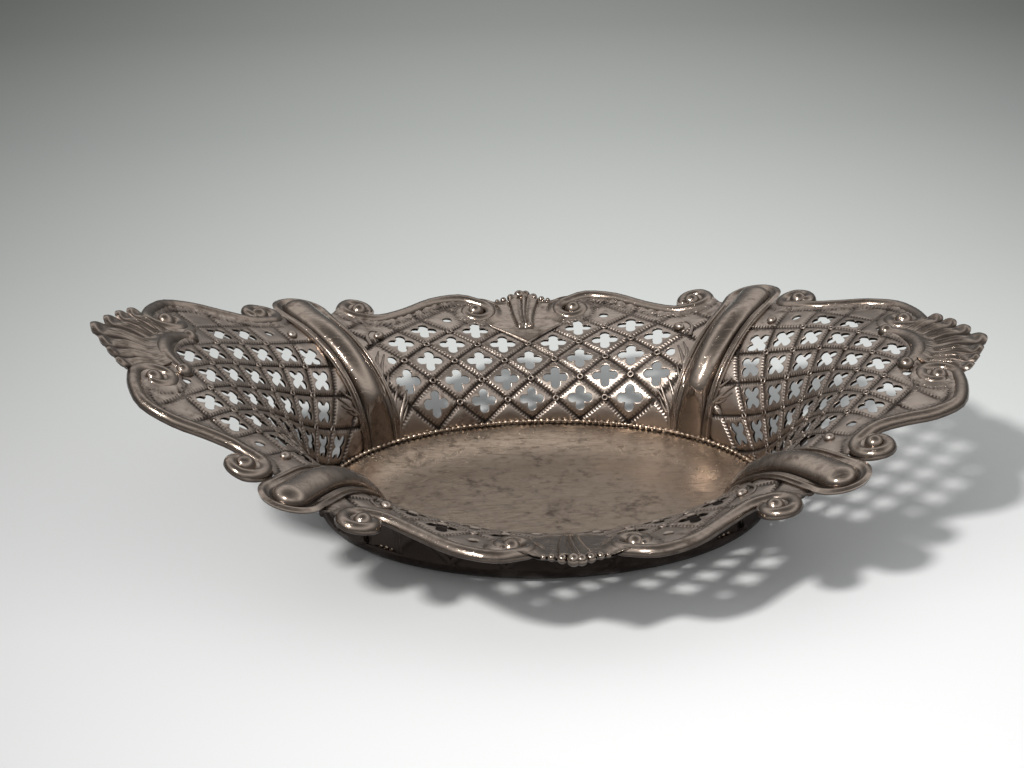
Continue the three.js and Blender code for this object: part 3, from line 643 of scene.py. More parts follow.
@dataclass
class Skin:
    """Points, triangles and marks of one part of a piece."""

    points: np.ndarray
    triangles: np.ndarray
    marks: dict[Mark, np.ndarray]

    def thick(self, gauge: float) -> "Skin":
        """Gives the skin its sheet thickness, behind its face.

        Args:
            gauge: thickness.

        Returns:
            The closed sheet. Its back is painted fully dark, as painted shade on the outsides.
        """
        count = len(self.points)
        corners = self.points[self.triangles]
        faces = np.cross(corners[:, 1] - corners[:, 0], corners[:, 2] - corners[:, 0])
        normals = np.zeros_like(self.points)
        for k in range(3):
            np.add.at(normals, self.triangles[:, k], faces)
        normals /= np.maximum(np.linalg.norm(normals, axis=1, keepdims=True), LEAST_NORMAL)
        sides = np.concatenate([self.triangles[:, [k, (k + 1) % 3]] for k in range(3)])
        keys = np.sort(sides, axis=1)
        _, first, uses = np.unique(keys, axis=0, return_index=True, return_counts=True)
        rim = sides[first[uses == 1]]
        a, b = rim[:, 0], rim[:, 1]
        walls = np.concatenate([np.stack([b, a, a + count], 1), np.stack([b, a + count, b + count], 1)])
        marks = {mark: np.concatenate([value, value * 0]) for mark, value in self.marks.items()}
        # The back of the sheet takes painted shade.
        if Mark.HOLLOW in marks:
            marks[Mark.HOLLOW][count:] = PAINTED_BACK_SHADE
        points = np.concatenate([self.points, self.points - normals * gauge])
        triangles = np.concatenate([self.triangles, self.triangles[:, ::-1] + count, walls])
        return Skin(points, triangles, marks)

    def solid(self) -> "Skin":
        """Turns a closed skin so that it faces outward.

        Returns:
            The skin.
        """
        a, b, c = (self.points[self.triangles[:, k]] for k in range(3))
        inside_out = np.einsum("ij,ij->i", a, np.cross(b, c)).sum() < 0
        return Skin(self.points, self.triangles[:, ::-1] if inside_out else self.triangles, self.marks)

    def welded(self) -> "Skin":
        """Joins points that lie at the same place, and drops triangles that close up.

        Returns:
            The welded skin.
        """
        keys = np.round(self.points / WELD_REACH).astype(np.int64)
        _, first, number = np.unique(keys, axis=0, return_index=True, return_inverse=True)
        joined = number.reshape(-1)[self.triangles]
        whole = (joined != np.roll(joined, -1, axis=1)).all(axis=1)
        marks = {mark: value[first] for mark, value in self.marks.items()}
        return Skin(self.points[first], joined[whole], marks)

    @staticmethod
    def faced(
        lay: Callable[[float], np.ndarray], triangles: np.ndarray, marks: dict[Mark, np.ndarray]
    ) -> "Skin":
        """Makes a skin whose triangles face the way the work is raised.

        Args:
            lay: gives the points, raised by a height.
            triangles: corner numbers.
            marks: values at the points.

        Returns:
            The skin.
        """
        points = lay(0.0)
        a, b, c = (points[triangles[:, k]] for k in range(3))
        lifts = (lay(FACING_LIFT) - points)[triangles[:, 0]]
        against = np.einsum("ij,ij->i", np.cross(b - a, c - a), lifts).sum() < 0
        return Skin(points, triangles[:, ::-1] if against else triangles, marks)

    @staticmethod
    def joined(skins: list["Skin"]) -> "Skin":
        """Puts several skins into one.

        Args:
            skins: the skins, with the same marks.

        Returns:
            The one skin.
        """
        starts = np.cumsum([0] + [len(skin.points) for skin in skins])
        points = np.concatenate([skin.points for skin in skins])
        triangles = np.concatenate([skin.triangles + start for skin, start in zip(skins, starts)])
        marks = {mark: np.concatenate([skin.marks[mark] for skin in skins]) for mark in skins[0].marks}
        return Skin(points, triangles, marks)


def add_piece(
    name: str, skin: Skin, material: bpy.types.Material, crisp: bool = False
) -> bpy.types.Object:
    """Makes a skin a piece of the dish.

    Args:
        name: the piece's name, which is also its CAD node's.
        skin: its shape, in millimetres.
        material: its finish.
        crisp: whether its sheet edges stay crisp.

    Returns:
        The object.
    """
    mesh = bpy.data.meshes.new(name)
    mesh.from_pydata((skin.points * METRES_PER_MM).tolist(), [], skin.triangles.tolist())
    for mark, value in skin.marks.items():
        kind, key = ("FLOAT", "value") if value.ndim == 1 else ("FLOAT_VECTOR", "vector")
        layer = mesh.attributes.new(mark.value, kind, "POINT")
        layer.data.foreach_set(key, value.astype(np.float32).ravel())
    mesh.shade_smooth()
    mesh.update()
    if crisp:
        mesh.set_sharp_from_angle(angle=math.radians(CRISP_ANGLE))
    mesh.materials.append(material)
    piece = bpy.data.objects.new(name, mesh)
    bpy.context.scene.collection.objects.link(piece)
    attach(piece, "root")
    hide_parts(name)
    LOG.info("%s: %d faces", name, len(mesh.polygons))
    return piece


class Growth:
    """A geometry tree that grows one mesh from another, with named sizes."""

    def __init__(self, name: str, sizes: dict[str, float], material: bpy.types.Material) -> None:
        """Starts the tree.

        Args:
            name: the tree's name.
            sizes: its inputs and their defaults.
            material: finish that it ends with.
        """
        self.tree = bpy.data.node_groups.new(name, "GeometryNodeTree")
        face = self.tree.interface
        face.new_socket("Geometry", in_out="INPUT", socket_type="NodeSocketGeometry")
        face.new_socket("Geometry", in_out="OUTPUT", socket_type="NodeSocketGeometry")
        for label, value in sizes.items():
            face.new_socket(label, in_out="INPUT", socket_type="NodeSocketFloat").default_value = value
        self.nodes = Nodes(self.tree)
        self.entry = self.tree.nodes.new("NodeGroupInput")
        self.material = material

    def size(self, label: str) -> Wire:
        """One of the named sizes."""
        return Wire(self.nodes, self.entry.outputs[label])

    def base(self) -> Wire:
        """The mesh that the tree starts from."""
        return Wire(self.nodes, self.entry.outputs["Geometry"])

    def parts(self, vector: Wire) -> tuple[Wire, Wire, Wire]:
        """The three numbers of a vector."""
        node = self.nodes.node("ShaderNodeSeparateXYZ", {}, {0: vector})
        return tuple(Wire(self.nodes, socket) for socket in node.outputs)

    def vector(self, x: Feed, y: Feed, z: Feed = 0.0) -> Wire:
        """A vector of three numbers."""
        return self.nodes.out("ShaderNodeCombineXYZ", {}, {0: x, 1: y, 2: z})

    def store(self, geometry: Wire, name: str, value: Wire) -> Wire:
        """Keeps a value on the points under a name."""
        feeds = {"Geometry": geometry, "Name": name, "Value": value}
        return self.nodes.out("GeometryNodeStoreNamedAttribute", {"data_type": "FLOAT"}, feeds)

    def named(self, name: str) -> Wire:
        """A value kept on the points."""
        return self.nodes.out("GeometryNodeInputNamedAttribute", {"data_type": "FLOAT"}, {"Name": name})

    def finish(self, geometry: Wire) -> None:
        """Realizes instances, sets the finish and closes the tree.

        Args:
            geometry: what the tree has grown.
        """
        real = self.nodes.out("GeometryNodeRealizeInstances", {}, {0: geometry})
        made = self.nodes.out("GeometryNodeSetMaterial", {}, {"Geometry": real, "Material": self.material})
        output = self.tree.nodes.new("NodeGroupOutput")
        self.tree.links.new(made.socket, output.inputs[0])

    def run(
        self, spots: np.ndarray, edges: list, values: dict[str, np.ndarray], keep: str = "", **sizes: float
    ) -> tuple[np.ndarray, np.ndarray, np.ndarray]:
        """Runs the tree on points.

        Args:
            spots: where it starts, one row each.
            edges: pairs of points that are joined.
            values: values at the points.
            keep: name of a value that the tree stores.
            sizes: named sizes that differ from their defaults, with _ for a blank.

        Returns:
            Points and triangles that grew, and the stored value at each point.
        """
        mesh = bpy.data.meshes.new("start")
        mesh.from_pydata(spots.tolist(), edges, [])
        for name, value in values.items():
            layer = mesh.attributes.new(name, "FLOAT", "POINT")
            layer.data.foreach_set("value", value.astype(np.float32))
        start = bpy.data.objects.new("start", mesh)
        bpy.context.scene.collection.objects.link(start)
        modifier = start.modifiers.new("growth", "NODES")
        modifier.node_group = self.tree
        for item in self.tree.interface.items_tree:
            label = item.name.replace(" ", "_")
            if item.in_out == "INPUT" and label in sizes:
                modifier[item.identifier] = sizes[label]
        grown = bpy.data.meshes.new_from_object(start.evaluated_get(bpy.context.evaluated_depsgraph_get()))
        bpy.data.objects.remove(start)
        points = np.zeros(len(grown.vertices) * 3)
        grown.vertices.foreach_get("co", points)
        grown.calc_loop_triangles()
        triangles = np.zeros(len(grown.loop_triangles) * 3, int)
        grown.loop_triangles.foreach_get("vertices", triangles)
        kept = np.zeros(len(grown.vertices))
        if keep:
            grown.attributes[keep].data.foreach_get("value", kept)
        bpy.data.meshes.remove(grown)
        return points.reshape(-1, 3), triangles.reshape(-1, 3), kept


# The pierced lattice


class Bore(Enum):
    """What a cell of the lattice is pierced with."""

    NONE = 0
    QUATREFOIL = 1
    PINHOLE = 2


@dataclass(frozen=True)
class CellTree:
    """Grows the flat lattice: one diamond cell to a point, pierced by the point's kind."""

    around: int = 40
    rings: int = 9
    lobe_centre: float = 1.47
    lobe_radius: float = 0.9
    cusp: float = 1.08
    pinhole: float = 0.85
    weld_reach: float = 0.002
    no_gap: float = 10.0

    def build(self, half_pitch: float, row_pitch: float, material: bpy.types.Material) -> Growth:
        """Builds the tree.

        Args:
            half_pitch: from a crossing to the next cell centre.
            row_pitch: from one row of cells to the next.
            material: the sheet's finish.

        Returns:
            The tree.
        """
        sizes = {
            "Half pitch": half_pitch,
            "Row pitch": row_pitch,
            "Lobe centre": self.lobe_centre,
            "Lobe radius": self.lobe_radius,
            "Cusp": self.cusp,
            "Pinhole": self.pinhole,
        }
        growth = Growth("lattice_cells", sizes, material)
        nodes = growth.nodes
        kind = growth.named("kind")
        laid = []
        for bore in Bore:
            cell = self._cell(growth, bore)
            chosen = kind.maths("COMPARE", float(bore.value), 0.5)
            feeds = {"Points": growth.base(), "Instance": cell, "Selection": chosen}
            laid.append(nodes.out("GeometryNodeInstanceOnPoints", {}, feeds))
        joined = nodes.out("GeometryNodeJoinGeometry", {}, {0: laid})
        real = nodes.out("GeometryNodeRealizeInstances", {}, {0: joined})
        welded = nodes.out("GeometryNodeMergeByDistance", {}, {"Geometry": real, "Distance": self.weld_reach})
        growth.finish(welded)
        return growth

    def _cell(self, growth: Growth, bore: Bore) -> Wire:
        """One diamond cell round its hole, as a grid bent round the centre.

        Args:
            growth: the tree.
            bore: what it is pierced with.

        Returns:
            The cell's geometry.
        """
        nodes = growth.nodes
        feeds = {"Size X": 1.0, "Size Y": 1.0, "Vertices X": self.around + 1, "Vertices Y": self.rings + 1}
        grid = nodes.out("GeometryNodeMeshGrid", {}, feeds)
        across, up, _ = growth.parts(nodes.out("GeometryNodeInputPosition"))
        sides = (across + 0.5) * 4.0
        ring = (up + 0.5).rises(0.0, 1.0)
        edge_x = growth.size("Half pitch") * self._corner_wave(sides)
        edge_y = growth.size("Row pitch") * self._corner_wave(sides + 3.0)
        turn = sides * (math.pi / 2)
        reach = self._bore_reach(growth, bore, sides)
        hole_x = reach * turn.maths("COSINE")
        hole_y = reach * turn.maths("SINE")
        gap_x = edge_x - hole_x
        gap_y = edge_y - hole_y
        place = growth.vector(hole_x + gap_x * ring, hole_y + gap_y * ring)
        gap = (gap_x * gap_x + gap_y * gap_y).maths("SQRT") * ring
        shown = growth.store(grid, "gap", gap if bore is not Bore.NONE else gap + self.no_gap)
        moved = nodes.out("GeometryNodeSetPosition", {}, {"Geometry": shown, "Position": place})
        return nodes.out("GeometryNodeMergeByDistance", {}, {"Geometry": moved, "Distance": self.weld_reach})

    @staticmethod
    def _corner_wave(sides: Wire) -> Wire:
        """A triangle wave that runs round the diamond's corners."""
        return (sides.maths("MODULO", 4.0) - 2.0).maths("ABSOLUTE") - 1.0

    def _bore_reach(self, growth: Growth, bore: Bore, sides: Wire) -> Wire:
        """How far the hole reaches from the cell's centre.

        Args:
            growth: the tree.
            bore: what the cell is pierced with.
            sides: place round the cell, four to a turn.

        Returns:
            The reach.
        """
        if bore is Bore.NONE:
            return sides * 0.0
        if bore is Bore.PINHOLE:
            return growth.size("Pinhole") + sides * 0.0
        lean = ((sides + 0.5).maths("FRACT") - 0.5) * (math.pi / 2)
        centre = growth.size("Lobe centre")
        radius = growth.size("Lobe radius")
        aside = centre * lean.maths("SINE")
        past = (radius * radius - aside * aside).maths("MAXIMUM", 0.0).maths("SQRT")
        return (centre * lean.maths("COSINE") + past).maths("MAXIMUM", growth.size("Cusp"))


@dataclass(frozen=True)
class RingTree:
    """Grows a small ring on each point."""

    ring_sides: int = 18
    tube_sides: int = 8

    def build(self, radius: float, tube: float, material: bpy.types.Material) -> Growth:
        """Builds the tree.

        Args:
            radius: the ring's radius.
            tube: its tube's radius.
            material: its finish.

        Returns:
            The tree.
        """
        growth = Growth("ring_knots", {"Radius": radius, "Tube": tube}, material)
        nodes = growth.nodes
        kind = "GeometryNodeCurvePrimitiveCircle"
        ring = nodes.out(kind, {}, {"Resolution": self.ring_sides, "Radius": growth.size("Radius")})
        tube_ring = nodes.out(kind, {}, {"Resolution": self.tube_sides, "Radius": growth.size("Tube")})
        knot = nodes.out("GeometryNodeCurveToMesh", {}, {"Curve": ring, "Profile Curve": tube_ring})
        feeds = {"Points": growth.base(), "Instance": knot}
        growth.finish(nodes.out("GeometryNodeInstanceOnPoints", {}, feeds))
        return growth


@dataclass(frozen=True)
class Scroll:
    """A rim scroll in plan: an inner volute, a run and an outer volute."""

    inner_centre: tuple[float, float]
    inner_radius: float
    inner_from: float
    run: tuple[tuple[float, float], ...]
    outer_centre: tuple[float, float]
    outer_radius: float
    outer_from: float
    sweep: float
    tighten_share: float = 0.5
    end_share: float = 0.45
    curl_steps: int = 14
    rim_steps: int = 6

    def curl(self, centre: tuple[float, float], radius: float, start: float) -> np.ndarray:
        """One volute, from the run to its eye.

        Args:
            centre: its centre.
            radius: its radius at the run.
            start: where it starts, in degrees.

        Returns:
            Its points.
        """
        share = np.linspace(0, 1, self.curl_steps + 1)
        turn = np.radians(start + self.sweep * share)
        tight = np.clip((share - self.tighten_share) / (1 - self.tighten_share), 0, 1)
        reach = radius * (1 + (self.end_share - 1) * tight)
        return np.stack([centre[0] + reach * np.cos(turn), centre[1] + reach * np.sin(turn)], 1)

    def path(self) -> np.ndarray:
        """The whole scroll from eye to eye.

        Returns:
            Its points.
        """
        inner = self.curl(self.inner_centre, self.inner_radius, self.inner_from)[::-1]
        outer = self.curl(self.outer_centre, self.outer_radius, self.outer_from)
        return np.concatenate([inner, np.array(self.run), outer])

    def rim(self, side: float, reach: float) -> np.ndarray:
        """The run's outer edge.

        Args:
            side: 1 where outward is on the left of the run, or -1.
            reach: how far outside the path.

        Returns:
            Points in order.
        """
        inner = self.curl(self.inner_centre, self.inner_radius, self.inner_from)[:1]
        outer = self.curl(self.outer_centre, self.outer_radius, self.outer_from)[:1]
        path = smooth_path(np.concatenate([inner, np.array(self.run), outer]), self.rim_steps)
        along = np.gradient(path, axis=0)
        along /= np.linalg.norm(along, axis=1, keepdims=True)
        return path + side * reach * np.stack([-along[:, 1], along[:, 0]], 1)


def smooth_path(points: np.ndarray, steps: int) -> np.ndarray:
    """A smooth curve through points.

    Args:
        points: one row each.
        steps: pieces between two points.

    Returns:
        Points of the curve.
    """
    padded = np.concatenate([[2 * points[0] - points[1]], points, [2 * points[-1] - points[-2]]])
    made = []
    for i in range(1, len(padded) - 2):
        a, b, c, d = padded[i - 1 : i + 3]
        share = np.linspace(0, 1, steps, endpoint=False)[:, None]
        made.append(
            0.5
            * (
                2 * b
                + (c - a) * share
                + (2 * a - 5 * b + 4 * c - d) * share**2
                + (3 * b - a - 3 * c + d) * share**3
            )
        )
    return np.concatenate([*made, points[-1:]])


LONG_SCROLL = Scroll(
    inner_centre=(10.2, 53.2),
    inner_radius=3.2,
    inner_from=110,
    run=((13.4, 57.9), (19.4, 55.4), (25.0, 49.8), (30.2, 45.2)),
    outer_centre=(34.3, 47.7),
    outer_radius=3.3,
    outer_from=262,
    sweep=290,
)
END_SCROLL = Scroll(
    inner_centre=(70.0, 13.6),
    inner_radius=3.5,
    inner_from=10,
    run=((73.0, 18.0), (70.9, 23.4), (65.9, 26.5), (60.8, 27.4), (55.7, 28.8)),
    outer_centre=(53.8, 34.4),
    outer_radius=3.3,
    outer_from=232,
    sweep=-290,
)


@dataclass(frozen=True)
class FluteLine:
    """Where a corner flute runs: its middle line and its half width."""

    foot_angle: float = 44.0
    lean_angle: float = 9.9
    foot_half_width: float = 4.75
    tip_half_width: float = 5.8
    tip_share: float = 1.735

    def angle(self, spread: np.ndarray) -> np.ndarray:
        """Angle of the middle line."""
        return np.radians(self.foot_angle + self.lean_angle * (spread - 1))

    def half_width(self, spread: np.ndarray) -> np.ndarray:
        """Half the flute's width."""
        share = (spread - 1) / (self.tip_share - 1)
        return self.foot_half_width + (self.tip_half_width - self.foot_half_width) * share

    def angle_beside(self, spread: np.ndarray, offset: np.ndarray) -> np.ndarray:
        """Angle of a line beside the middle one.

        Args:
            spread: share of the foot's ellipse.
            offset: distance along the parallel, positive towards the long side.

        Returns:
            The angles.
        """
        angle = self.angle(spread)
        across = WALL.foot_half_length * np.sin(angle)
        along = WALL.foot_half_width * np.cos(angle)
        return angle + offset / (spread * np.hypot(across, along))


FLUTE_LINE = FluteLine()


@dataclass(frozen=True)
class Pattern:
    """A flat lattice and its place on the wall."""

    along_x: bool
    half_pitch: float
    row_pitch: float
    row_zero: float
    parity: int
    fan_radius: float
    bow: float
    rows: range

    def place(self, across: np.ndarray, up: np.ndarray) -> tuple[np.ndarray, ...]:
        """Flat pattern to wall.

        Args:
            across: distance from the middle.
            up: distance from the foot line.

        Returns:
            Spread, angle, drop, and whether the spot is on the wall.
        """
        lengths, spreads = WALL.rise_table(0.0 if self.along_x else math.pi / 2)
        bowed = up + across**2 * self.bow
        spread = np.interp(bowed, lengths, spreads)
        aside = across * (1 + np.maximum(0, up) / self.fan_radius)
        half = WALL.foot_half_width if self.along_x else WALL.foot_half_length
        share = aside / (spread * half)
        valid = (np.abs(share) < 1) & (bowed < lengths[-1])
        share = np.clip(share, -1, 1)
        angle = np.arcsin(share) if self.along_x else np.arccos(share)
        return spread, angle, np.maximum(0, -bowed), valid

    def spot(self, column: int, row: int) -> tuple[float, float]:
        """Flat place of a cell's centre or of a crossing."""
        return column * self.half_pitch, self.row_zero + row * self.row_pitch

    def plan(self, across: np.ndarray, up: np.ndarray) -> np.ndarray:
        """The pattern's spots in plan, in the first quarter's frame."""
        spread, angle, _, _ = self.place(across, up)
        return WALL.plan(spread, angle)


LONG_PATTERN = Pattern(
    along_x=False,
    half_pitch=4.72,
    row_pitch=4.35,
    row_zero=0.3,
    parity=1,
    fan_radius=182.0,
    bow=0.0,
    rows=range(-8, 16),
)
END_PATTERN = Pattern(
    along_x=True,
    half_pitch=4.43,
    row_pitch=4.23,
    row_zero=22.04,
    parity=0,
    fan_radius=173.0,
    bow=1 / 50.2,
    rows=range(-14, 16),
)
END_FAN_CENTRE = (59.075, 0.0)
END_FAN_ROOT = 12.0
END_SHELL_OVERLAP = 1.2
END_FAN_HALF_SWEEP = 40.1
COLLAR_BOW = 10.2
COLLAR_HALF_TURN = 0.9
PATH_STEPS = 3
FAR_OFF = 99.0
GROUND_ROW = 4
GROUND_REACH = 16.0
GROUND_SAMPLES = 33
RIM_FILLET = 0.75
RIM_FILLET_REACH = (0.8, 2.7)

# Beside an outer volute the sheet is cut along a flank: offsets from the volute's centre.
END_FLANK = (-2.0, 0.9)
LONG_FLANK = ((4.0, -0.3), (5.5, -3.0))
LONG_FLANK_DROP = 45.0
CUT_REACH = 110.0
CUT_OVERLAP = 1.0


def middle_ground_foot(aside: np.ndarray) -> np.ndarray:
    """Lower edge of the plain ground in the middle of a long side, along the lattice's lines.

    Args:
        aside: distance from the middle.

    Returns:
        Place of the edge across the dish.
    """
    across = np.linspace(0, GROUND_REACH, GROUND_SAMPLES)
    slope = LONG_PATTERN.row_pitch / LONG_PATTERN.half_pitch
    line = LONG_PATTERN.plan(across, LONG_PATTERN.spot(0, GROUND_ROW)[1] + across * slope)
    return np.interp(np.abs(aside), line[:, 0], line[:, 1])


def wire_distance(plan: np.ndarray) -> np.ndarray:
    """Distance in plan from the nearest wire of the rim.

    Args:
        plan: spots.

    Returns:
        Distance from the wire's middle line.
    """
    folded = np.abs(plan)
    nearest = np.full(len(plan), FAR_OFF)
    for scroll in (LONG_SCROLL, END_SCROLL):
        for spot in smooth_path(scroll.path(), PATH_STEPS):
            nearest = np.minimum(nearest, np.hypot(folded[:, 0] - spot[0], folded[:, 1] - spot[1]))
    out = folded - np.array(END_FAN_CENTRE)
    bow = np.abs(np.hypot(out[:, 0], out[:, 1]) - COLLAR_BOW)
    beside = np.abs(np.arctan2(out[:, 1], out[:, 0])) < COLLAR_HALF_TURN
    return np.minimum(nearest, np.where(beside, bow, FAR_OFF))


def rim_fillet(near: np.ndarray) -> np.ndarray:
    """How far the sheet rises to meet a wire of the rim, by distance from it."""
    return RIM_FILLET * (1 - step(near, *RIM_FILLET_REACH))


@dataclass(frozen=True)
class Stroke:
    """A chased ridge of a leaf: its line in the flat pattern, from base to tip, and half its width."""

    half_width: float
    line: tuple[tuple[float, float], ...]


@dataclass
class PiercedPanel:
    """One pierced panel of the wall: cushioned diamond fields between narrow channels."""

    finishes: Finishes
    name: str
    quarter: Quarter
    pattern: Pattern
    cells: list[tuple[int, ...]]
    pinholes: list[tuple[int, ...]]
    inward: dict[tuple[int, int], float]
    strokes: tuple[Stroke, ...]
    buds: tuple[tuple[float, float, float], ...]
    gauge: float = 0.6
    leaf_flatness: float = 0.9
    channel_depth: float = 0.26
    channel_half_width: float = 0.1
    field_edge: float = 0.3
    cushion: float = 0.3
    cushion_width: float = 0.9
    mill_offset: float = 0.42
    rim_round: float = 0.12
    rim_edge_drop: float = 0.05
    field_opens: tuple[float, float] = (1.9, 5.0)
    mill_half_width: float = 0.2
    rim_mill_offset: float = 2.3
    rim_mill_half_width: float = 0.16
    stipple_from: tuple[float, float] = (1.4, 1.9)
    stipple_to: tuple[float, float] = (2.6, 3.8)
    shut_channel: float = 0.25
    mill_base: float = 0.4
    mill_gain: float = 0.7
    sunk_dark: float = 0.9
    strip_dark: float = 0.15
    stipple_dark: float = 0.3
    knot_radius: float = 0.48
    knot_tube: float = 0.2
    knot_height: float = -0.2
    knot_neighbours: int = 3
    knot_dirt: tuple[float, ...] = (-0.1, 0.15, 0.25, 0.6)
    leaf_dirt: tuple[float, ...] = (0.0, 0.3, 0.1, 0.7)
    top_spread: float = 2.05
    under_ground: float = 0.4
    under_flute: float = 0.7
    under_shell: float = 0.6
    under_shell_turn: float = 1.0
    sheet_under_wire: float = -0.3
    foot_overlap: float = 0.05
    deepest_drop: float = 2.0
    still_hole: float = 0.5
    still_pinhole: float = 0.2
    stroke_steps: int = 5
    stroke_taper: float = 0.65

    def build(self) -> bpy.types.Object:
        """Builds the panel.

        Returns:
            Its object.
        """
        patch = self._trimmed(self._flat())
        height, hollow, mill = self._relief(patch.values)
        marks = {Mark.HOLLOW: hollow, Mark.MILL: mill}
        sheet = Skin.faced(lambda extra: self._laid(patch.values, height + extra), patch.triangles, marks)
        skin = Skin.joined([sheet.thick(self.gauge), self._knots(), self._leaves()])
        return add_piece(self.name, skin, self.finishes.lattice, crisp=True)

    def _leaves(self) -> Skin:
        """Chased leaf sprays and buds beside the flutes.

        Returns:
            The sprays, laid on the wall.
        """
        spots, edges, thick, balls = [], [], [], []
        for side in (-1, 1):
            for stroke in self.strokes:
                line = smooth_path(np.array(stroke.line), self.stroke_steps)
                share = np.linspace(0, 1, len(line))
                edges += [(len(spots) + i, len(spots) + i + 1) for i in range(len(line) - 1)]
                spots += [(side * across, up, 0.0) for across, up in line]
                thick += list(stroke.half_width * (1 - self.stroke_taper * share**2))
                balls += [0.0] * len(line)
            for across, up, radius in self.buds:
                spots.append((side * across, up, 0.0))
                thick.append(radius)
                balls.append(radius)
        growth = SweepTree(sides=8, ball_segments=16, ball_rings=9).build(self.finishes.lattice)
        values = {"thick": np.array(thick), "ball": np.array(balls)}
        points, triangles, _ = growth.run(np.array(spots), edges, values, Flatness=self.leaf_flatness)
        # Painted shade on the leaves' low sides, over a darker tone.
        return self._raised(points, triangles, tone_and_low_shade(points[:, 2], *self.leaf_dirt))

    def _raised(self, points: np.ndarray, triangles: np.ndarray, hollow: np.ndarray) -> Skin:
        """Lays grown relief on the wall."""
        laid = self._laid({"across": points[:, 0], "up": points[:, 1]}, points[:, 2])
        return Skin(laid, triangles, {Mark.HOLLOW: hollow, Mark.MILL: np.zeros((len(points), 3))}).solid()

    def _knots(self) -> Skin:
        """Ring knots on the crossings between the holes.

        Returns:
            The knots, laid on the wall.
        """
        spots = []
        columns = max(column for column, _ in self.cells) + 1
        rows = [row for _, row in self.cells]
        for row in range(min(rows) - 1, max(rows) + 2):
            for column in range(-columns, columns + 1):
                beside = [(column - 1, row), (column + 1, row), (column, row - 1), (column, row + 1)]
                bored = sum((abs(c), r) in self.cells for c, r in beside)
                if (column + row) % 2 != self.pattern.parity and bored >= self.knot_neighbours:
                    spots.append((*self.pattern.spot(column, row), self.knot_height))
        growth = RingTree().build(self.knot_radius, self.knot_tube, self.finishes.lattice)
        points, triangles, _ = growth.run(np.array(spots), [], {})
        # Painted shade on the knots' low sides, over a darker tone.
        return self._raised(points, triangles, tone_and_low_shade(points[:, 2] - self.knot_height, *self.knot_dirt))

    def _flat(self) -> Patch:
        """The flat lattice, grown cell by cell.

        Returns:
            The lattice with its flat places.
        """
        pattern = self.pattern
        reach = (WALL.foot_half_width if pattern.along_x else WALL.foot_half_length) * WALL.top_share
        columns = math.ceil(reach / pattern.half_pitch)
        spots, kinds = [], []
        for row in pattern.rows:
            for column in range(-columns, columns + 1):
                if (column + row) % 2 == pattern.parity and self._near(column, row):
                    spots.append((*pattern.spot(column, row), 0.0))
                    kinds.append(self._kind(column, row).value)
        growth = CellTree().build(pattern.half_pitch, pattern.row_pitch, self.finishes.lattice)
        kinds = {"kind": np.array(kinds, float)}
        points, triangles, gap = growth.run(np.array(spots), [], kinds, keep="gap")
        values = {"across": points[:, 0], "up": points[:, 1], "gap": gap}
        values["across"] = values["across"] + self._set_inward(values)
        return Patch(values, triangles)

    def _near(self, column: int, row: int) -> bool:
        """Whether a cell lies on the wall at all.

        Args:
            column: half pitches from the middle.
            row: rows from row zero.

        Returns:
            True where it has a place between the flutes.
        """
        lean = np.array([-1.0, 0.0, 1.0, 0.0])
        rise = np.array([0.0, -1.0, 0.0, 1.0])
        spread, angle, drop, valid = self.pattern.place(*self.pattern.spot(column + lean, row + rise))
        if not valid.all():
            return False
        beside = np.abs(angle) if self.pattern.along_x else np.abs(math.pi / 2 - angle)
        limit = FLUTE_LINE.angle(spread)
        limit = limit if self.pattern.along_x else math.pi / 2 - limit
        return bool(((beside < limit) & (spread < self.top_spread) & (drop < self.deepest_drop)).any())

    def _kind(self, column: int, row: int) -> Bore:
        """What a cell is pierced with.

        Args:
            column: half pitches from the middle.
            row: rows from row zero.

        Returns:
            The kind of hole.
        """
        if (abs(column), row) in self.cells:
            return Bore.QUATREFOIL
        if (abs(column), row) in self.pinholes:
            return Bore.PINHOLE
        return Bore.NONE

    def _set_inward(self, values: dict[str, np.ndarray]) -> np.ndarray:
        """Sets the holes beside the flutes nearer the middle.

        Args:
            values: flat places.

        Returns:
            How far each point moves across.
        """
        pattern = self.pattern
        moved = np.zeros(len(values["across"]))
        for (column, row), share in self.inward.items():
            for side in (-1, 1):
                dx = np.abs(values["across"] - side * column * pattern.half_pitch) / pattern.half_pitch
                dy = np.abs(values["up"] - pattern.row_zero - row * pattern.row_pitch) / pattern.row_pitch
                still = self.still_hole if (column, row) in self.cells else self.still_pinhole
                moved -= side * share * pattern.half_pitch * (1 - step(dx + dy, still, 1.0))
        return moved

    def _laid(self, values: dict[str, np.ndarray], height: np.ndarray) -> np.ndarray:
        """The pattern on the wall."""
        spread, angle, drop, _ = self.pattern.place(values["across"], values["up"])
        return WALL.laid(spread, angle, drop, height, self.quarter)

    def _trimmed(self, patch: Patch) -> Patch:
        """Trims the lattice at the foot, the flutes, the rim and the shell.

        Args:
            patch: the flat lattice.

        Returns:
            The panel.
        """
        patch = patch.cut(lambda v: v["up"] + v["across"] ** 2 * self.pattern.bow + self.foot_overlap)
        patch = patch.cut(self._from_flutes)
        patch = patch.cut(lambda v: -self._past_rim(v))
        return patch.cut(lambda v: -self._in_shell(v))

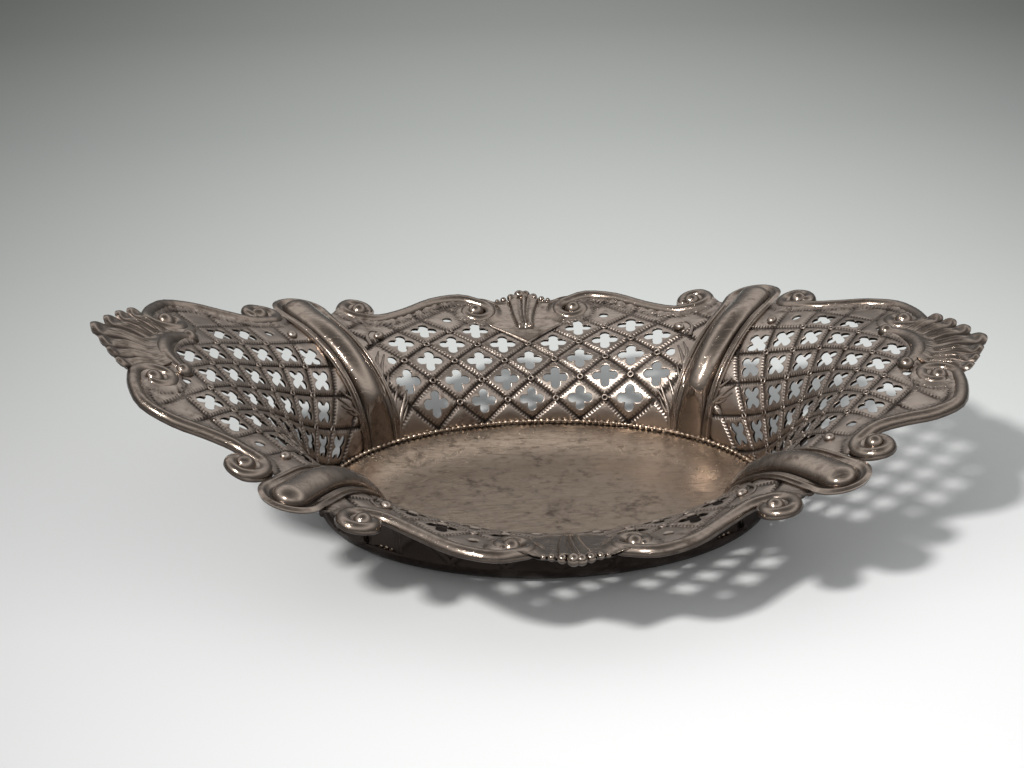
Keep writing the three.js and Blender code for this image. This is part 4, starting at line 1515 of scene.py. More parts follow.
    def _from_flutes(self, values: dict[str, np.ndarray]) -> np.ndarray:
        """Distance from the flutes' edges, in radians of the foot's ellipse.

        Args:
            values: flat places.

        Returns:
            Positive between the flutes.
        """
        spread, angle, _, _ = self.pattern.place(values["across"], values["up"])
        half = FLUTE_LINE.half_width(spread) - self.under_flute
        if self.pattern.along_x:
            return FLUTE_LINE.angle_beside(spread, -half) - np.abs(angle)
        return math.pi / 2 - FLUTE_LINE.angle_beside(spread, half) - np.abs(math.pi / 2 - angle)

    def _past_rim(self, values: dict[str, np.ndarray]) -> np.ndarray:
        """How far past the rim's wire the sheet runs.

        Args:
            values: flat places.

        Returns:
            Positive past the rim.
        """
        plan = np.abs(self.pattern.plan(values["across"], values["up"]))
        scroll = END_SCROLL if self.pattern.along_x else LONG_SCROLL
        rim = scroll.rim(-1 if self.pattern.along_x else 1, self.sheet_under_wire)
        inner = np.array(scroll.inner_centre)
        outer = np.array(scroll.outer_centre)
        far, below = CUT_REACH, -CUT_OVERLAP
        if self.pattern.along_x:
            flank = [outer + END_FLANK, [0, outer[1] + END_FLANK[1]]]
            ends = [*flank, [0, far], [far, far], [far, below], [inner[0], below]]
        else:
            flank = [*(outer + offset for offset in LONG_FLANK), [far, outer[1] - LONG_FLANK_DROP]]
            ends = [*flank, [far, far], [below, far], [below, inner[1]]]
        past = depth_inside(np.concatenate([[inner], rim, [outer], np.array(ends)]), plan)
        for centre, radius in ((inner, scroll.inner_radius), (outer, scroll.outer_radius)):
            beyond = np.linalg.norm(plan - centre, axis=1) - radius - self.sheet_under_wire
            past = np.minimum(past, beyond)
        return past

    def _in_shell(self, values: dict[str, np.ndarray]) -> np.ndarray:
        """How far under the shell the sheet runs.

        Args:
            values: flat places.

        Returns:
            Positive where the shell takes over.
        """
        plan = np.abs(self.pattern.plan(values["across"], values["up"]))
        if self.pattern.along_x:
            out = plan - np.array(END_FAN_CENTRE)
            reach = np.linalg.norm(out, axis=1)
            turn = np.degrees(np.arctan2(out[:, 1], out[:, 0]))
            beside = np.radians(END_FAN_HALF_SWEEP - self.under_shell_turn - turn) * reach
            return np.minimum(reach - END_FAN_ROOT - self.under_shell, beside)
        over = plan[:, 1] - middle_ground_foot(plan[:, 0]) - self.under_ground
        return np.minimum(over, LONG_SCROLL.inner_centre[0] - plan[:, 0])

    def _relief(self, values: dict[str, np.ndarray]) -> tuple[np.ndarray, np.ndarray, np.ndarray]:
        """Fields, channels and hole rims.

        Args:
            values: flat places.

        Returns:
            Height, its darkness (painted shade and tarnish in the sunk channels, with the milled and stippled
            lines darker in tone), and the milled strip, the distance along it and the stippled ground.
        """
        pattern = self.pattern
        across, up = values["across"], values["up"]
        column = across / pattern.half_pitch
        row = (up - pattern.row_zero) / pattern.row_pitch
        side = math.hypot(pattern.half_pitch, pattern.row_pitch)
        width = pattern.half_pitch * pattern.row_pitch / side
        distances = []
        for sums in (column + row, column - row):
            cycle = np.mod(sums - pattern.parity - 1, 2)
            distances.append(np.minimum(cycle, 2 - cycle) * width)
        distance = np.minimum(*distances)
        lean = np.where(distances[0] < distances[1], -1.0, 1.0)
        along = (across * pattern.half_pitch + lean * (up * pattern.row_pitch)) / side
        near = wire_distance(pattern.plan(across, up))
        opened = step(near, *self.field_opens)
        channel = 1 - step(distance, self.channel_half_width, self.field_edge)
        sunk = channel * (self.shut_channel + (1 - self.shut_channel) * opened)
        height = -self.channel_depth * sunk - self.cushion * np.exp(-distance / self.cushion_width) * opened
        height += rim_fillet(near)
        rim = np.clip(1 - values["gap"] / self.rim_round, 0, 1)
        height -= self.rim_edge_drop * rim**2
        strip = dip(distance, self.mill_offset, self.mill_half_width)
        strip = strip * (self.mill_base + self.mill_gain * opened)
        strip = strip + dip(near, self.rim_mill_offset, self.rim_mill_half_width)
        stipple = step(near, *self.stipple_from) * (1 - step(near, *self.stipple_to))
        mill = np.stack([strip, along, stipple], 1)
        # Painted shade and tarnish in the sunk channels; milled strips and stippled ground darker in tone.
        dark = sunk * self.sunk_dark + strip * self.strip_dark + stipple * self.stipple_dark
        return height, np.clip(dark, 0, 1), mill


LONG_CELLS = [
    *[(c, 1) for c in (0, 2, 4)],
    *[(c, 2) for c in (1, 3, 5)],
    *[(c, 3) for c in (0, 2, 4)],
    *[(c, 4) for c in (1, 3, 5)],
    *[(c, 5) for c in (2, 4)],
]
LONG_PINHOLES = [(6, 3), (3, 6)]
END_CELLS = [
    (3, -5), (2, -4), (0, -4), (1, -3), (3, -3), (0, -2), (2, -2), (4, -2),
    (1, -1), (3, -1), (5, -1), (0, 0), (2, 0), (4, 0), (1, 1), (3, 1),
    (0, 2), (2, 2), (4, 2), (1, 3), (3, 3), (0, 4),
]
END_PINHOLES = [(5, 1), (2, 4)]
LONG_SET_INWARD = {(6, 3): 0.5}
END_SET_INWARD = {(5, -1): 0.3}
LONG_STROKES = (
    Stroke(0.42, ((26.9, 0.3), (26.3, 2.6), (25.3, 5.0), (24.2, 7.4))),
    Stroke(0.38, ((27.6, 0.3), (27.5, 3.2), (26.7, 5.9), (25.6, 8.4))),
    Stroke(0.3, ((26.5, 2.0), (25.4, 3.2), (24.4, 4.9))),
    Stroke(0.28, ((27.6, 3.0), (28.0, 4.8), (27.5, 6.8))),
    Stroke(0.28, ((26.0, 3.8), (24.9, 4.9), (23.9, 6.3))),
    Stroke(0.45, ((28.6, 6.6), (28.6, 9.2), (28.2, 11.8), (27.3, 14.6))),
    Stroke(0.34, ((28.5, 7.4), (27.7, 8.6), (27.2, 10.6))),
    Stroke(0.34, ((28.7, 9.0), (29.3, 11.4), (28.9, 14.0))),
    Stroke(0.34, ((28.5, 10.6), (28.9, 12.8), (28.2, 15.4))),
    Stroke(0.3, ((29.3, 17.0), (29.6, 19.6), (28.6, 21.4), (27.2, 21.0))),
)
LONG_BUDS = ((27.4, 19.7, 0.95),)
END_STROKES = (
    Stroke(0.38, ((20.3, 0.6), (19.6, 3.0), (18.9, 5.6), (17.9, 8.4))),
    Stroke(0.32, ((21.0, 1.6), (20.7, 4.2), (19.9, 6.8), (19.2, 9.2))),
    Stroke(0.28, ((19.9, 1.8), (18.8, 3.2), (17.9, 5.0))),
    Stroke(0.28, ((20.9, 3.6), (21.4, 5.6), (20.9, 7.8))),
    Stroke(0.28, ((19.4, 3.8), (18.3, 5.2), (17.5, 6.9))),
)
END_BUDS = ((24.8, 22.2, 0.95),)


def pierced_panels(finishes: Finishes) -> list[PiercedPanel]:
    """The four pierced panels.

    Args:
        finishes: the dish's finishes.

    Returns:
        The panels.
    """
    long_side = (LONG_PATTERN, LONG_CELLS, LONG_PINHOLES, LONG_SET_INWARD, LONG_STROKES, LONG_BUDS)
    end_side = (END_PATTERN, END_CELLS, END_PINHOLES, END_SET_INWARD, END_STROKES, END_BUDS)
    return [
        PiercedPanel(finishes, "back_panel", Quarter.BACK_RIGHT, *long_side),
        PiercedPanel(finishes, "front_panel", Quarter.FRONT_RIGHT, *long_side),
        PiercedPanel(finishes, "right_end_panel", Quarter.BACK_RIGHT, *end_side),
        PiercedPanel(finishes, "left_end_panel", Quarter.BACK_LEFT, *end_side),
    ]


# Rim mounts, flutes and the foot


def reed(share: np.ndarray, centre: float, half: float) -> np.ndarray:
    """A half-round ridge."""
    return np.sqrt(np.clip(1 - ((share - centre) / half) ** 2, 0, 1))


def dip(share: np.ndarray, centre: float, half: float) -> np.ndarray:
    """A soft bump or hollow, 1 in the middle."""
    return np.exp(-(((share - centre) / half) ** 2))


@dataclass
class Flute:
    """A corner flute: a rounded band between double reeds, which close round its tip."""

    finishes: Finishes
    quarter: Quarter
    stations: int = 60
    fan_steps: int = 30
    across: int = 44
    base: float = 0.3
    gauge: float = 0.6
    band_rise: float = 2.0
    band_share: float = 0.57
    reed_rise: float = 0.4
    lip_rise: float = 0.5
    foot_relief: float = 0.2
    foot_blend: float = 0.08
    tip_blend: float = 0.16
    groove_offset: float = 0.02
    groove_half: float = 0.05
    groove_cut_half: float = 0.04
    groove_depth: float = 0.2
    reed: tuple[float, float] = (0.84, 0.055)
    fine_lines: tuple[tuple[float, float, float], ...] = ((0.62, 0.03, 0.16), (0.69, 0.03, 0.14))
    creases: tuple[tuple[float, float, float], ...] = ((0.73, 0.08, 0.5), (0.93, 0.03, 0.7))
    lip: tuple[float, float] = (0.86, 0.13)
    milled: tuple[float, float] = (0.975, 0.02)
    station_length: float = 0.5
    station_power: float = 1.3
    across_power: float = 0.85
    band_power: float = 0.6
    crease_dark: float = 0.8

    def build(self) -> bpy.types.Object:
        """Builds the flute.

        Returns:
            Its object.
        """
        spread, offset, share, relief, along = self._lines()
        tipness = step(spread, FLUTE_LINE.tip_share - self.tip_blend, FLUTE_LINE.tip_share)
        height = self.base + self._profile(share, tipness) * relief
        # Painted shade in the groove beside the band and in the creases of the reeds.
        creases = sum(dark * dip(share, centre, half) for centre, half, dark in self.creases)
        groove = dip(share, self.band_share + self.groove_offset, self.groove_half)
        hollow = groove + (1 - tipness) * creases
        strip = dip(share, *self.milled)
        marks = {
            Mark.HOLLOW: np.clip(hollow, 0, 1) * self.crease_dark,
            Mark.MILL: np.stack([strip, along, np.zeros(len(along))], 1),
        }
        angle = FLUTE_LINE.angle_beside(spread, offset)
        drop = np.zeros(len(spread))
        triangles = grid_triangles(2 * self.stations + self.fan_steps - 1, self.across + 1)
        skin = Skin.faced(
            lambda extra: WALL.laid(spread, angle, drop, height + extra, self.quarter), triangles, marks
        )
        skin = skin.welded().thick(self.gauge)
        return add_piece(f"{self.quarter.label}_flute", skin, self.finishes.mounts, crisp=True)

    def _lines(self) -> tuple[np.ndarray, ...]:
        """Rays square to the middle line, up one side, round the tip and down the other.

        Returns:
            Spread, offset, share of the half width, relief and length, at each point.
        """
        up = np.linspace(0, 1, self.stations)
        side = 1 + (FLUTE_LINE.tip_share - 1) * up**self.station_power
        fan = np.linspace(0, math.pi, self.fan_steps + 1)[1:-1]
        spread = np.concatenate([side, np.full(len(fan), FLUTE_LINE.tip_share), side[::-1]])
        turn = np.concatenate([np.zeros(len(side)), fan, np.full(len(side), math.pi)])
        relief = self.foot_relief + (1 - self.foot_relief) * step((spread - 1) / self.foot_blend, 0, 1)
        share = np.linspace(0, 1, self.across + 1) ** self.across_power
        tip = FLUTE_LINE.angle(np.array(FLUTE_LINE.tip_share))
        reach_up = np.hypot(WALL.foot_half_length * np.cos(tip), WALL.foot_half_width * np.sin(tip))
        reach = share[None, :] * FLUTE_LINE.half_width(spread)[:, None]
        spreads = spread[:, None] + reach * np.sin(turn)[:, None] / reach_up
        offsets = -reach * np.cos(turn)[:, None]
        wide = np.ones_like(spreads)
        along = np.cumsum(np.full(len(spread), self.station_length))[:, None] * wide
        columns = (spreads, offsets, share[None, :] * wide, relief[:, None] * wide, along)
        return tuple(column.ravel() for column in columns)

    def _profile(self, share: np.ndarray, tipness: np.ndarray) -> np.ndarray:
        """Height across the flute.

        Args:
            share: distance from the middle line, 1 at the edge.
            tipness: 0 along the flute, 1 round its tip.

        Returns:
            The height.
        """
        band = np.clip(1 - (share / self.band_share) ** 2, 0, 1) ** self.band_power * self.band_rise
        lines = sum(reed(share, centre, half) * rise for centre, half, rise in self.fine_lines)
        reeds = lines + reed(share, *self.reed) * self.reed_rise
        lip = dip(share, *self.lip) * self.lip_rise
        groove = self.groove_depth * dip(share, self.band_share + self.groove_offset, self.groove_cut_half)
        return band + reeds * (1 - tipness) + lip * tipness - groove


@dataclass(frozen=True)
class SweepTree:
    """Grows a round wire along a path in plan, with a ball on each marked point."""

    sides: int = 16
    ball_segments: int = 24
    ball_rings: int = 14
    least_ball: float = 0.01

    def build(self, material: bpy.types.Material) -> Growth:
        """Builds the tree.

        Args:
            material: the wire's finish.

        Returns:
            The tree.
        """
        growth = Growth("wire_sweep", {"Flatness": 1.0}, material)
        nodes = growth.nodes
        thick = growth.named("thick")
        line = nodes.out("GeometryNodeMeshToCurve", {}, {"Mesh": growth.base()})
        line = nodes.out("GeometryNodeSetCurveRadius", {}, {"Curve": line, "Radius": thick})
        ring = nodes.out("GeometryNodeCurvePrimitiveCircle", {}, {"Resolution": self.sides, "Radius": 1.0})
        feeds = {"Curve": line, "Profile Curve": ring, "Fill Caps": True}
        sweep = nodes.node("GeometryNodeCurveToMesh", {}, feeds)
        if "Scale" in sweep.inputs:
            nodes.tree.links.new(thick.socket, sweep.inputs["Scale"])
        feeds = {"Segments": self.ball_segments, "Rings": self.ball_rings, "Radius": 1.0}
        ball = nodes.out("GeometryNodeMeshUVSphere", {}, feeds)
        size = growth.named("ball")
        feeds = {
            "Points": growth.base(),
            "Instance": ball,
            "Selection": size.maths("GREATER_THAN", self.least_ball),
            "Scale": growth.vector(size, size, size),
        }
        balls = nodes.out("GeometryNodeInstanceOnPoints", {}, feeds)
        joined = nodes.out("GeometryNodeJoinGeometry", {}, {0: [Wire(nodes, sweep.outputs[0]), balls]})
        real = nodes.out("GeometryNodeRealizeInstances", {}, {0: joined})
        across, up, rise = growth.parts(nodes.out("GeometryNodeInputPosition"))
        place = growth.vector(across, up, rise * growth.size("Flatness"))
        growth.finish(nodes.out("GeometryNodeSetPosition", {}, {"Geometry": real, "Position": place}))
        return growth


@dataclass
class RimWire:
    """A wire of the rim, laid on the wall along a path in plan."""

    finishes: Finishes
    name: str
    quarter: Quarter
    path: np.ndarray
    thickness: np.ndarray
    balls: dict[int, float]
    base: float = -0.25
    flatness: float = 1.15
    underside: float = 0.3
    dirt: tuple[float, ...] = (0.15, 0.75, 0.25, 0.6)

    def build(self) -> bpy.types.Object:
        """Builds the wire.

        Returns:
            Its object.
        """
        balls = np.zeros(len(self.path))
        for place, radius in self.balls.items():
            balls[place] = radius
        spots = np.column_stack([self.path, np.zeros(len(self.path))])
        edges = [(i, i + 1) for i in range(len(spots) - 1)]
        growth = SweepTree().build(self.finishes.mounts)
        values = {"thick": self.thickness, "ball": balls}
        points, triangles, _ = growth.run(spots, edges, values, Flatness=self.flatness)
        rise = np.where(points[:, 2] < 0, points[:, 2] * self.underside, points[:, 2])
        laid = WALL.over_plan(points[:, :2], rise + self.base, self.quarter)
        # Painted shade low on the wire where it meets the sheet, over an even darker tone.
        hollow = tone_and_low_shade(rise, *self.dirt)
        if self.quarter.x * self.quarter.y < 0:
            triangles = triangles[:, ::-1]
        skin = Skin(laid, triangles, {Mark.HOLLOW: hollow})
        return add_piece(self.name, skin, self.finishes.mounts)


def rim_scrolls(finishes: Finishes) -> list[RimWire]:
    """The eight rim scrolls.

    Args:
        finishes: the dish's finishes.

    Returns:
        The scrolls.
    """
    made = []
    full = 1.4
    tail = 1.3
    eye = 1.85
    closing = [0.3]
    for quarter in Quarter:
        for label, scroll in (("long_scroll", LONG_SCROLL), ("end_scroll", END_SCROLL)):
            path = smooth_path(scroll.path(), PATH_STEPS)
            steps = PATH_STEPS * scroll.curl_steps
            share = np.ones(len(path))
            share[: steps + 1] = np.linspace(0, 1, steps + 1)
            share[-steps - 1 :] = np.linspace(1, 0, steps + 1)
            path = np.concatenate([[scroll.inner_centre], path, [scroll.outer_centre]])
            thickness = np.concatenate([closing, tail + (full - tail) * share, closing])
            balls = {0: eye, len(path) - 1: eye}
            made.append(RimWire(finishes, f"{quarter.label}_{label}", quarter, path, thickness, balls))
    return made


def collars(finishes: Finishes) -> list[RimWire]:
    """The C-shaped collars at the ends.

    Args:
        finishes: the dish's finishes.

    Returns:
        The collars.
    """
    half_angle = 52.0
    steps = 40
    tail = 1.2
    full = 1.75
    ball = 1.65
    turn = np.radians(np.linspace(-half_angle, half_angle, steps + 1))
    path = np.array(END_FAN_CENTRE) + COLLAR_BOW * np.stack([np.cos(turn), np.sin(turn)], 1)
    thickness = tail + (full - tail) * np.sin(np.linspace(0, math.pi, steps + 1))
    balls = {0: ball, steps: ball}
    ends = ((Quarter.BACK_RIGHT, "right_collar"), (Quarter.BACK_LEFT, "left_collar"))
    return [RimWire(finishes, name, quarter, path, thickness, balls) for quarter, name in ends]


@dataclass(frozen=True)
class Lobe:
    """One lobe of a shell: its turn and half width in degrees, and its reach."""

    turn: float
    half_turn: float
    reach: float


@dataclass
class EndShell:
    """A shell of the rim: folds that fan out from a root to rolled lobes."""

    finishes: Finishes
    name: str
    quarter: Quarter
    lobes: tuple[Lobe, ...] = (
        Lobe(0.0, 7.5, 23.3),
        Lobe(13.6, 6.1, 22.0),
        Lobe(25.0, 5.3, 21.6),
        Lobe(35.2, 4.9, 21.6),
    )
    root: float = END_FAN_ROOT - END_SHELL_OVERLAP
    lobe_depth: float = 1.7
    base: float = 0.45
    gauge: float = 0.7
    rays_per_lobe: int = 18
    rings: int = 44
    fold_rise: float = 0.9
    bead_rise: float = 0.5
    neck_depth: float = 0.25
    flare_rise: float = 0.9
    lobe_roundness: float = 0.97
    grows: tuple[float, float] = (0.15, 0.6)
    ribs: tuple[float, float] = (0.3, 0.1)
    rib_rise: float = 0.22
    vein: tuple[float, float] = (0.0, 0.12)
    vein_depth: float = 0.15
    ribs_start: tuple[float, float] = (0.05, 0.3)
    ribs_end: tuple[float, float] = (0.55, 0.8)
    flare: tuple[float, float] = (-0.12, 0.3)
    bead: tuple[float, float] = (0.93, 0.07)
    neck: tuple[float, float] = (0.82, 0.06)
    neck_half: float = 0.55
    crease_half: float = 0.22
    crease_dark: float = 0.8
    vein_dark: float = 0.3
    vein_starts: tuple[float, float] = (0.1, 0.3)
    vein_ends: tuple[float, float] = (0.5, 0.8)
    neck_dark: float = 1.2
    least_dark: float = 0.25

    def build(self) -> bpy.types.Object:
        """Builds the shell.

        Returns:
            Its object.
        """
        turns, lobe_share, reach = self._rays()
        along = np.linspace(0, 1, self.rings + 1)
        wide = np.ones((len(turns), len(along)))
        share = lobe_share[:, None] * wide
        out = along[None, :] * wide
        distance = self.root + (reach[:, None] - self.root) * out
        turn = turns[:, None] * wide
        height, hollow = self._relief(share, out)
        plan = np.stack([(distance * np.cos(turn)).ravel(), (distance * np.sin(turn)).ravel()], 1)
        plan += np.array(END_FAN_CENTRE)
        height = (height + self.base).ravel()
        triangles = grid_triangles(len(turns), len(along))
        marks = {Mark.HOLLOW: hollow.ravel()}
        skin = Skin.faced(lambda extra: WALL.over_plan(plan, height + extra, self.quarter), triangles, marks)
        return add_piece(self.name, skin.thick(self.gauge), self.finishes.mounts, crisp=True)

    def _rays(self) -> tuple[np.ndarray, np.ndarray, np.ndarray]:
        """The fan's rays.

        Returns:
            Turn in radians, place in the lobe from -1 to 1, and reach, of each ray.
        """
        row = [Lobe(-l.turn, l.half_turn, l.reach) for l in self.lobes[:0:-1]] + list(self.lobes)
        turns, shares, reaches = [], [], []
        for number, lobe in enumerate(row):
            share = np.linspace(-1, 1, self.rays_per_lobe + 1)[1 if number else 0 :]
            turns.append(np.radians(lobe.turn + share * lobe.half_turn))
            shares.append(share)
            round_end = np.sqrt(np.clip(1 - share**2 * self.lobe_roundness, 0, 1))
            reaches.append(lobe.reach - self.lobe_depth * (1 - round_end))
        return np.concatenate(turns), np.concatenate(shares), np.concatenate(reaches)

    def _relief(self, share: np.ndarray, out: np.ndarray) -> tuple[np.ndarray, np.ndarray]:
        """Folds, grooves and rolled tips.

        Args:
            share: place in the lobe.
            out: place from the root to the tip.

        Returns:
            Height, and its darkness: painted shade in the creases between lobes, along the vein and in the
                neck, over an even darker tone.
        """
        grow = step(out, *self.grows)
        vein = dip(share, *self.vein)
        cushion = np.sqrt(np.clip(1 - share**2, 0, 1)) * self.fold_rise * grow
        ribs = dip(np.abs(share), *self.ribs) * self.rib_rise - vein * self.vein_depth
        ribs = ribs * step(out, *self.ribs_start)
        ribs = ribs * (1 - step(out, *self.ribs_end))
        flare = self.flare_rise * (1 - step(out, *self.flare))
        bead = dip(out, *self.bead) * np.clip(1 - share**2, 0, 1) * self.bead_rise
        neck = dip(out, *self.neck) * dip(share, 0.0, self.neck_half) * self.neck_depth
        height = cushion + ribs + flare + bead - neck
        # Painted shade in the creases between lobes, along the vein and in the neck.
        crease = dip(np.abs(share), 1.0, self.crease_half) * grow
        vein = vein * self.vein_dark * step(out, *self.vein_starts) * (1 - step(out, *self.vein_ends))
        hollow = crease * self.crease_dark + vein
        return height, np.clip(self.least_dark + hollow + neck * self.neck_dark, 0, 1)


@dataclass
class MiddleShell:
    """The middle of a long side: plain ground, a bundle of drapery, and knobs along the top."""

    finishes: Finishes
    name: str
    quarter: Quarter
    base: float = 0.05
    gauge: float = 0.7
    half_width: float = 10.2
    ground_top: float = 57.4
    top_rise: float = 2.3
    top_rise_half: float = 2.7
    cloth_low: float = 47.0
    cloth_top: float = 60.2
    cloth_low_half: float = 1.5
    cloth_top_half: float = 3.4
    cloth_rise: float = 0.65
    widening_power: float = 1.2
    cloth_base: float = 0.3
    sway: float = 0.25
    rolled_offset: float = -0.25
    rolled_half: float = 0.35
    rolled_rise: float = 0.35
    edge_depth: float = 0.1
    foot_width: float = 0.45
    foot_depth: float = 0.3
    wire_overlap: float = 0.4
    sway_waves: float = 5.0
    past_cloth: float = 1.2
    cloth_starts: tuple[float, float] = (-0.02, 0.08)
    cloth_ends: tuple[float, float] = (0.9, 1.02)
    cloth_side: tuple[float, float] = (0.95, 1.12)
    cloth_edge: tuple[float, float] = (1.1, 0.1)
    fold_dark: float = 0.4
    edge_dark: float = 0.25
    foot_dark: float = 0.8
    knob_height_share: float = 0.25
    knob_dirt: tuple[float, ...] = (-0.3, 0.5, 0.0, 0.8)
    columns: int = 150
    rows: int = 90
    ridges: tuple[tuple[float, float, float], ...] = (
        (-0.66, 0.4, 0.7),
        (0.02, 0.24, 1.15),
        (0.66, 0.36, 0.8),
    )
    knobs: tuple[tuple[float, float, float], ...] = (
        (-0.55, 59.7, 1.15),
        (0.75, 59.8, 1.0),
        (2.35, 58.9, 0.85),
        (-2.35, 58.9, 0.85),
        (4.0, 58.0, 0.68),
        (-4.0, 58.0, 0.68),
        (5.3, 57.6, 0.5),
        (-5.3, 57.6, 0.5),
    )

    def build(self) -> bpy.types.Object:
        """Builds the shell.

        Returns:
            Its object.
        """
        across, up = np.meshgrid(
            np.linspace(-self.half_width, self.half_width, self.columns),
            np.linspace(0, 1, self.rows),
            indexing="ij",
        )
        low = middle_ground_foot(across)
        plan = np.stack([across.ravel(), (low + (self._top(across) - low) * up).ravel()], 1)
        height, hollow = self._relief(plan)
        values = {"plan": plan, "height": height, "hollow": hollow}
        patch = Patch(values, grid_triangles(self.columns, self.rows))
        patch = patch.cut(self._clear_of_volutes)
        plan, height = patch.values["plan"], patch.values["height"] + self.base
        marks = {Mark.HOLLOW: patch.values["hollow"]}
        sheet = Skin.faced(
            lambda extra: WALL.over_plan(plan, height + extra, self.quarter), patch.triangles, marks
        )
        skin = Skin.joined([sheet.thick(self.gauge), *(self._knob(*knob) for knob in self.knobs)])
        return add_piece(self.name, skin, self.finishes.mounts, crisp=True)

    def _top(self, across: np.ndarray) -> np.ndarray:
        """The top edge, which rises under the knobs."""
        return self.ground_top + self.top_rise * dip(across, 0.0, self.top_rise_half)

    def _clear_of_volutes(self, values: dict[str, np.ndarray]) -> np.ndarray:
        """Distance outside the middle line of the volutes' wire.

        Args:
            values: the plan.

        Returns:
            Positive outside.
        """
        folded = np.abs(values["plan"])
        centre = np.array(LONG_SCROLL.inner_centre)
        return np.linalg.norm(folded - centre, axis=1) - LONG_SCROLL.inner_radius + self.wire_overlap

    def _relief(self, plan: np.ndarray) -> tuple[np.ndarray, np.ndarray]:
        """Drapery on plain ground.

        Args:
            plan: spots.

        Returns:
            Height, and its darkness: painted shade between the folds, along the cloth's edge and at the foot.
        """
        share_up = (plan[:, 1] - self.cloth_low) / (self.cloth_top - self.cloth_low)
        share_up = np.clip(share_up, -1, self.past_cloth)
        widening = np.clip(share_up, 0, 1) ** self.widening_power
        half = self.cloth_low_half + (self.cloth_top_half - self.cloth_low_half) * widening
        share = (plan[:, 0] + self.sway * np.sin(share_up * self.sway_waves)) / half
        folds = np.zeros(len(plan))
        for centre, width, rise in self.ridges:
            folds = np.maximum(folds, dip(share, centre, width) * rise)
        ends = step(share_up, *self.cloth_starts) * (1 - step(share_up, *self.cloth_ends))
        cloth = (1 - step(np.abs(share), *self.cloth_side)) * ends
        height = cloth * (self.cloth_base + folds * self.cloth_rise)
        edge = dip(np.abs(share), *self.cloth_edge) * ends
        past_top = plan[:, 1] - self._top(plan[:, 0])
        rolled = dip(past_top, self.rolled_offset, self.rolled_half) * self.rolled_rise
        foot = 1 - step(plan[:, 1] - middle_ground_foot(plan[:, 0]), 0.0, self.foot_width)
        # Painted shade between the folds, along the cloth's edge and at the foot.
        hollow = cloth * (1 - folds) * self.fold_dark + edge * self.edge_dark + foot * self.foot_dark
        hollow = np.clip(hollow, 0, 1)
        height = height + rolled + rim_fillet(wire_distance(plan))
        return height - self.edge_depth * edge - self.foot_depth * foot, hollow

    def _knob(self, x: float, y: float, radius: float) -> Skin:
        """A knob, half sunk in the sheet.

        Args:
            x: place along the dish.
            y: place across it.
            radius: its radius.

        Returns:
            The knob.
        """
        around = 20
        rings = 11
        pole = 0.001
        polar = np.linspace(pole, math.pi - pole, rings)
        turn = np.linspace(0, math.tau, around + 1)
        aside = radius * np.sin(polar)[None, :]
        spots = (x + aside * np.cos(turn)[:, None], y + aside * np.sin(turn)[:, None])
        plan = np.stack([spot.ravel() for spot in spots], 1)
        rise = (radius * np.cos(polar)[None, :] * np.ones((around + 1, 1))).ravel()
        sunk = self.knob_height_share * radius
        points = WALL.over_plan(plan, rise + self.base + sunk, self.quarter)
        middle = WALL.over_plan(np.array([[x, y]]), np.array([self.base + sunk]), self.quarter)
        skin = Skin(points, grid_triangles(around + 1, rings), {}).welded()
        rise = skin.points[:, 2] - middle[:, 2]
        # Painted shade low on the knob, where it sinks into the sheet.
        skin.marks[Mark.HOLLOW] = tone_and_low_shade(rise / radius, *self.knob_dirt)
        return skin.solid()


def shells(finishes: Finishes) -> list[EndShell | MiddleShell]:
    """The four shells of the rim.

    Args:
        finishes: the dish's finishes.

    Returns:
        The shells.
    """
    return [
        EndShell(finishes, "right_end_shell", Quarter.BACK_RIGHT),
        EndShell(finishes, "left_end_shell", Quarter.BACK_LEFT),
        MiddleShell(finishes, "back_middle_shell", Quarter.BACK_RIGHT),
        MiddleShell(finishes, "front_middle_shell", Quarter.FRONT_RIGHT),
    ]


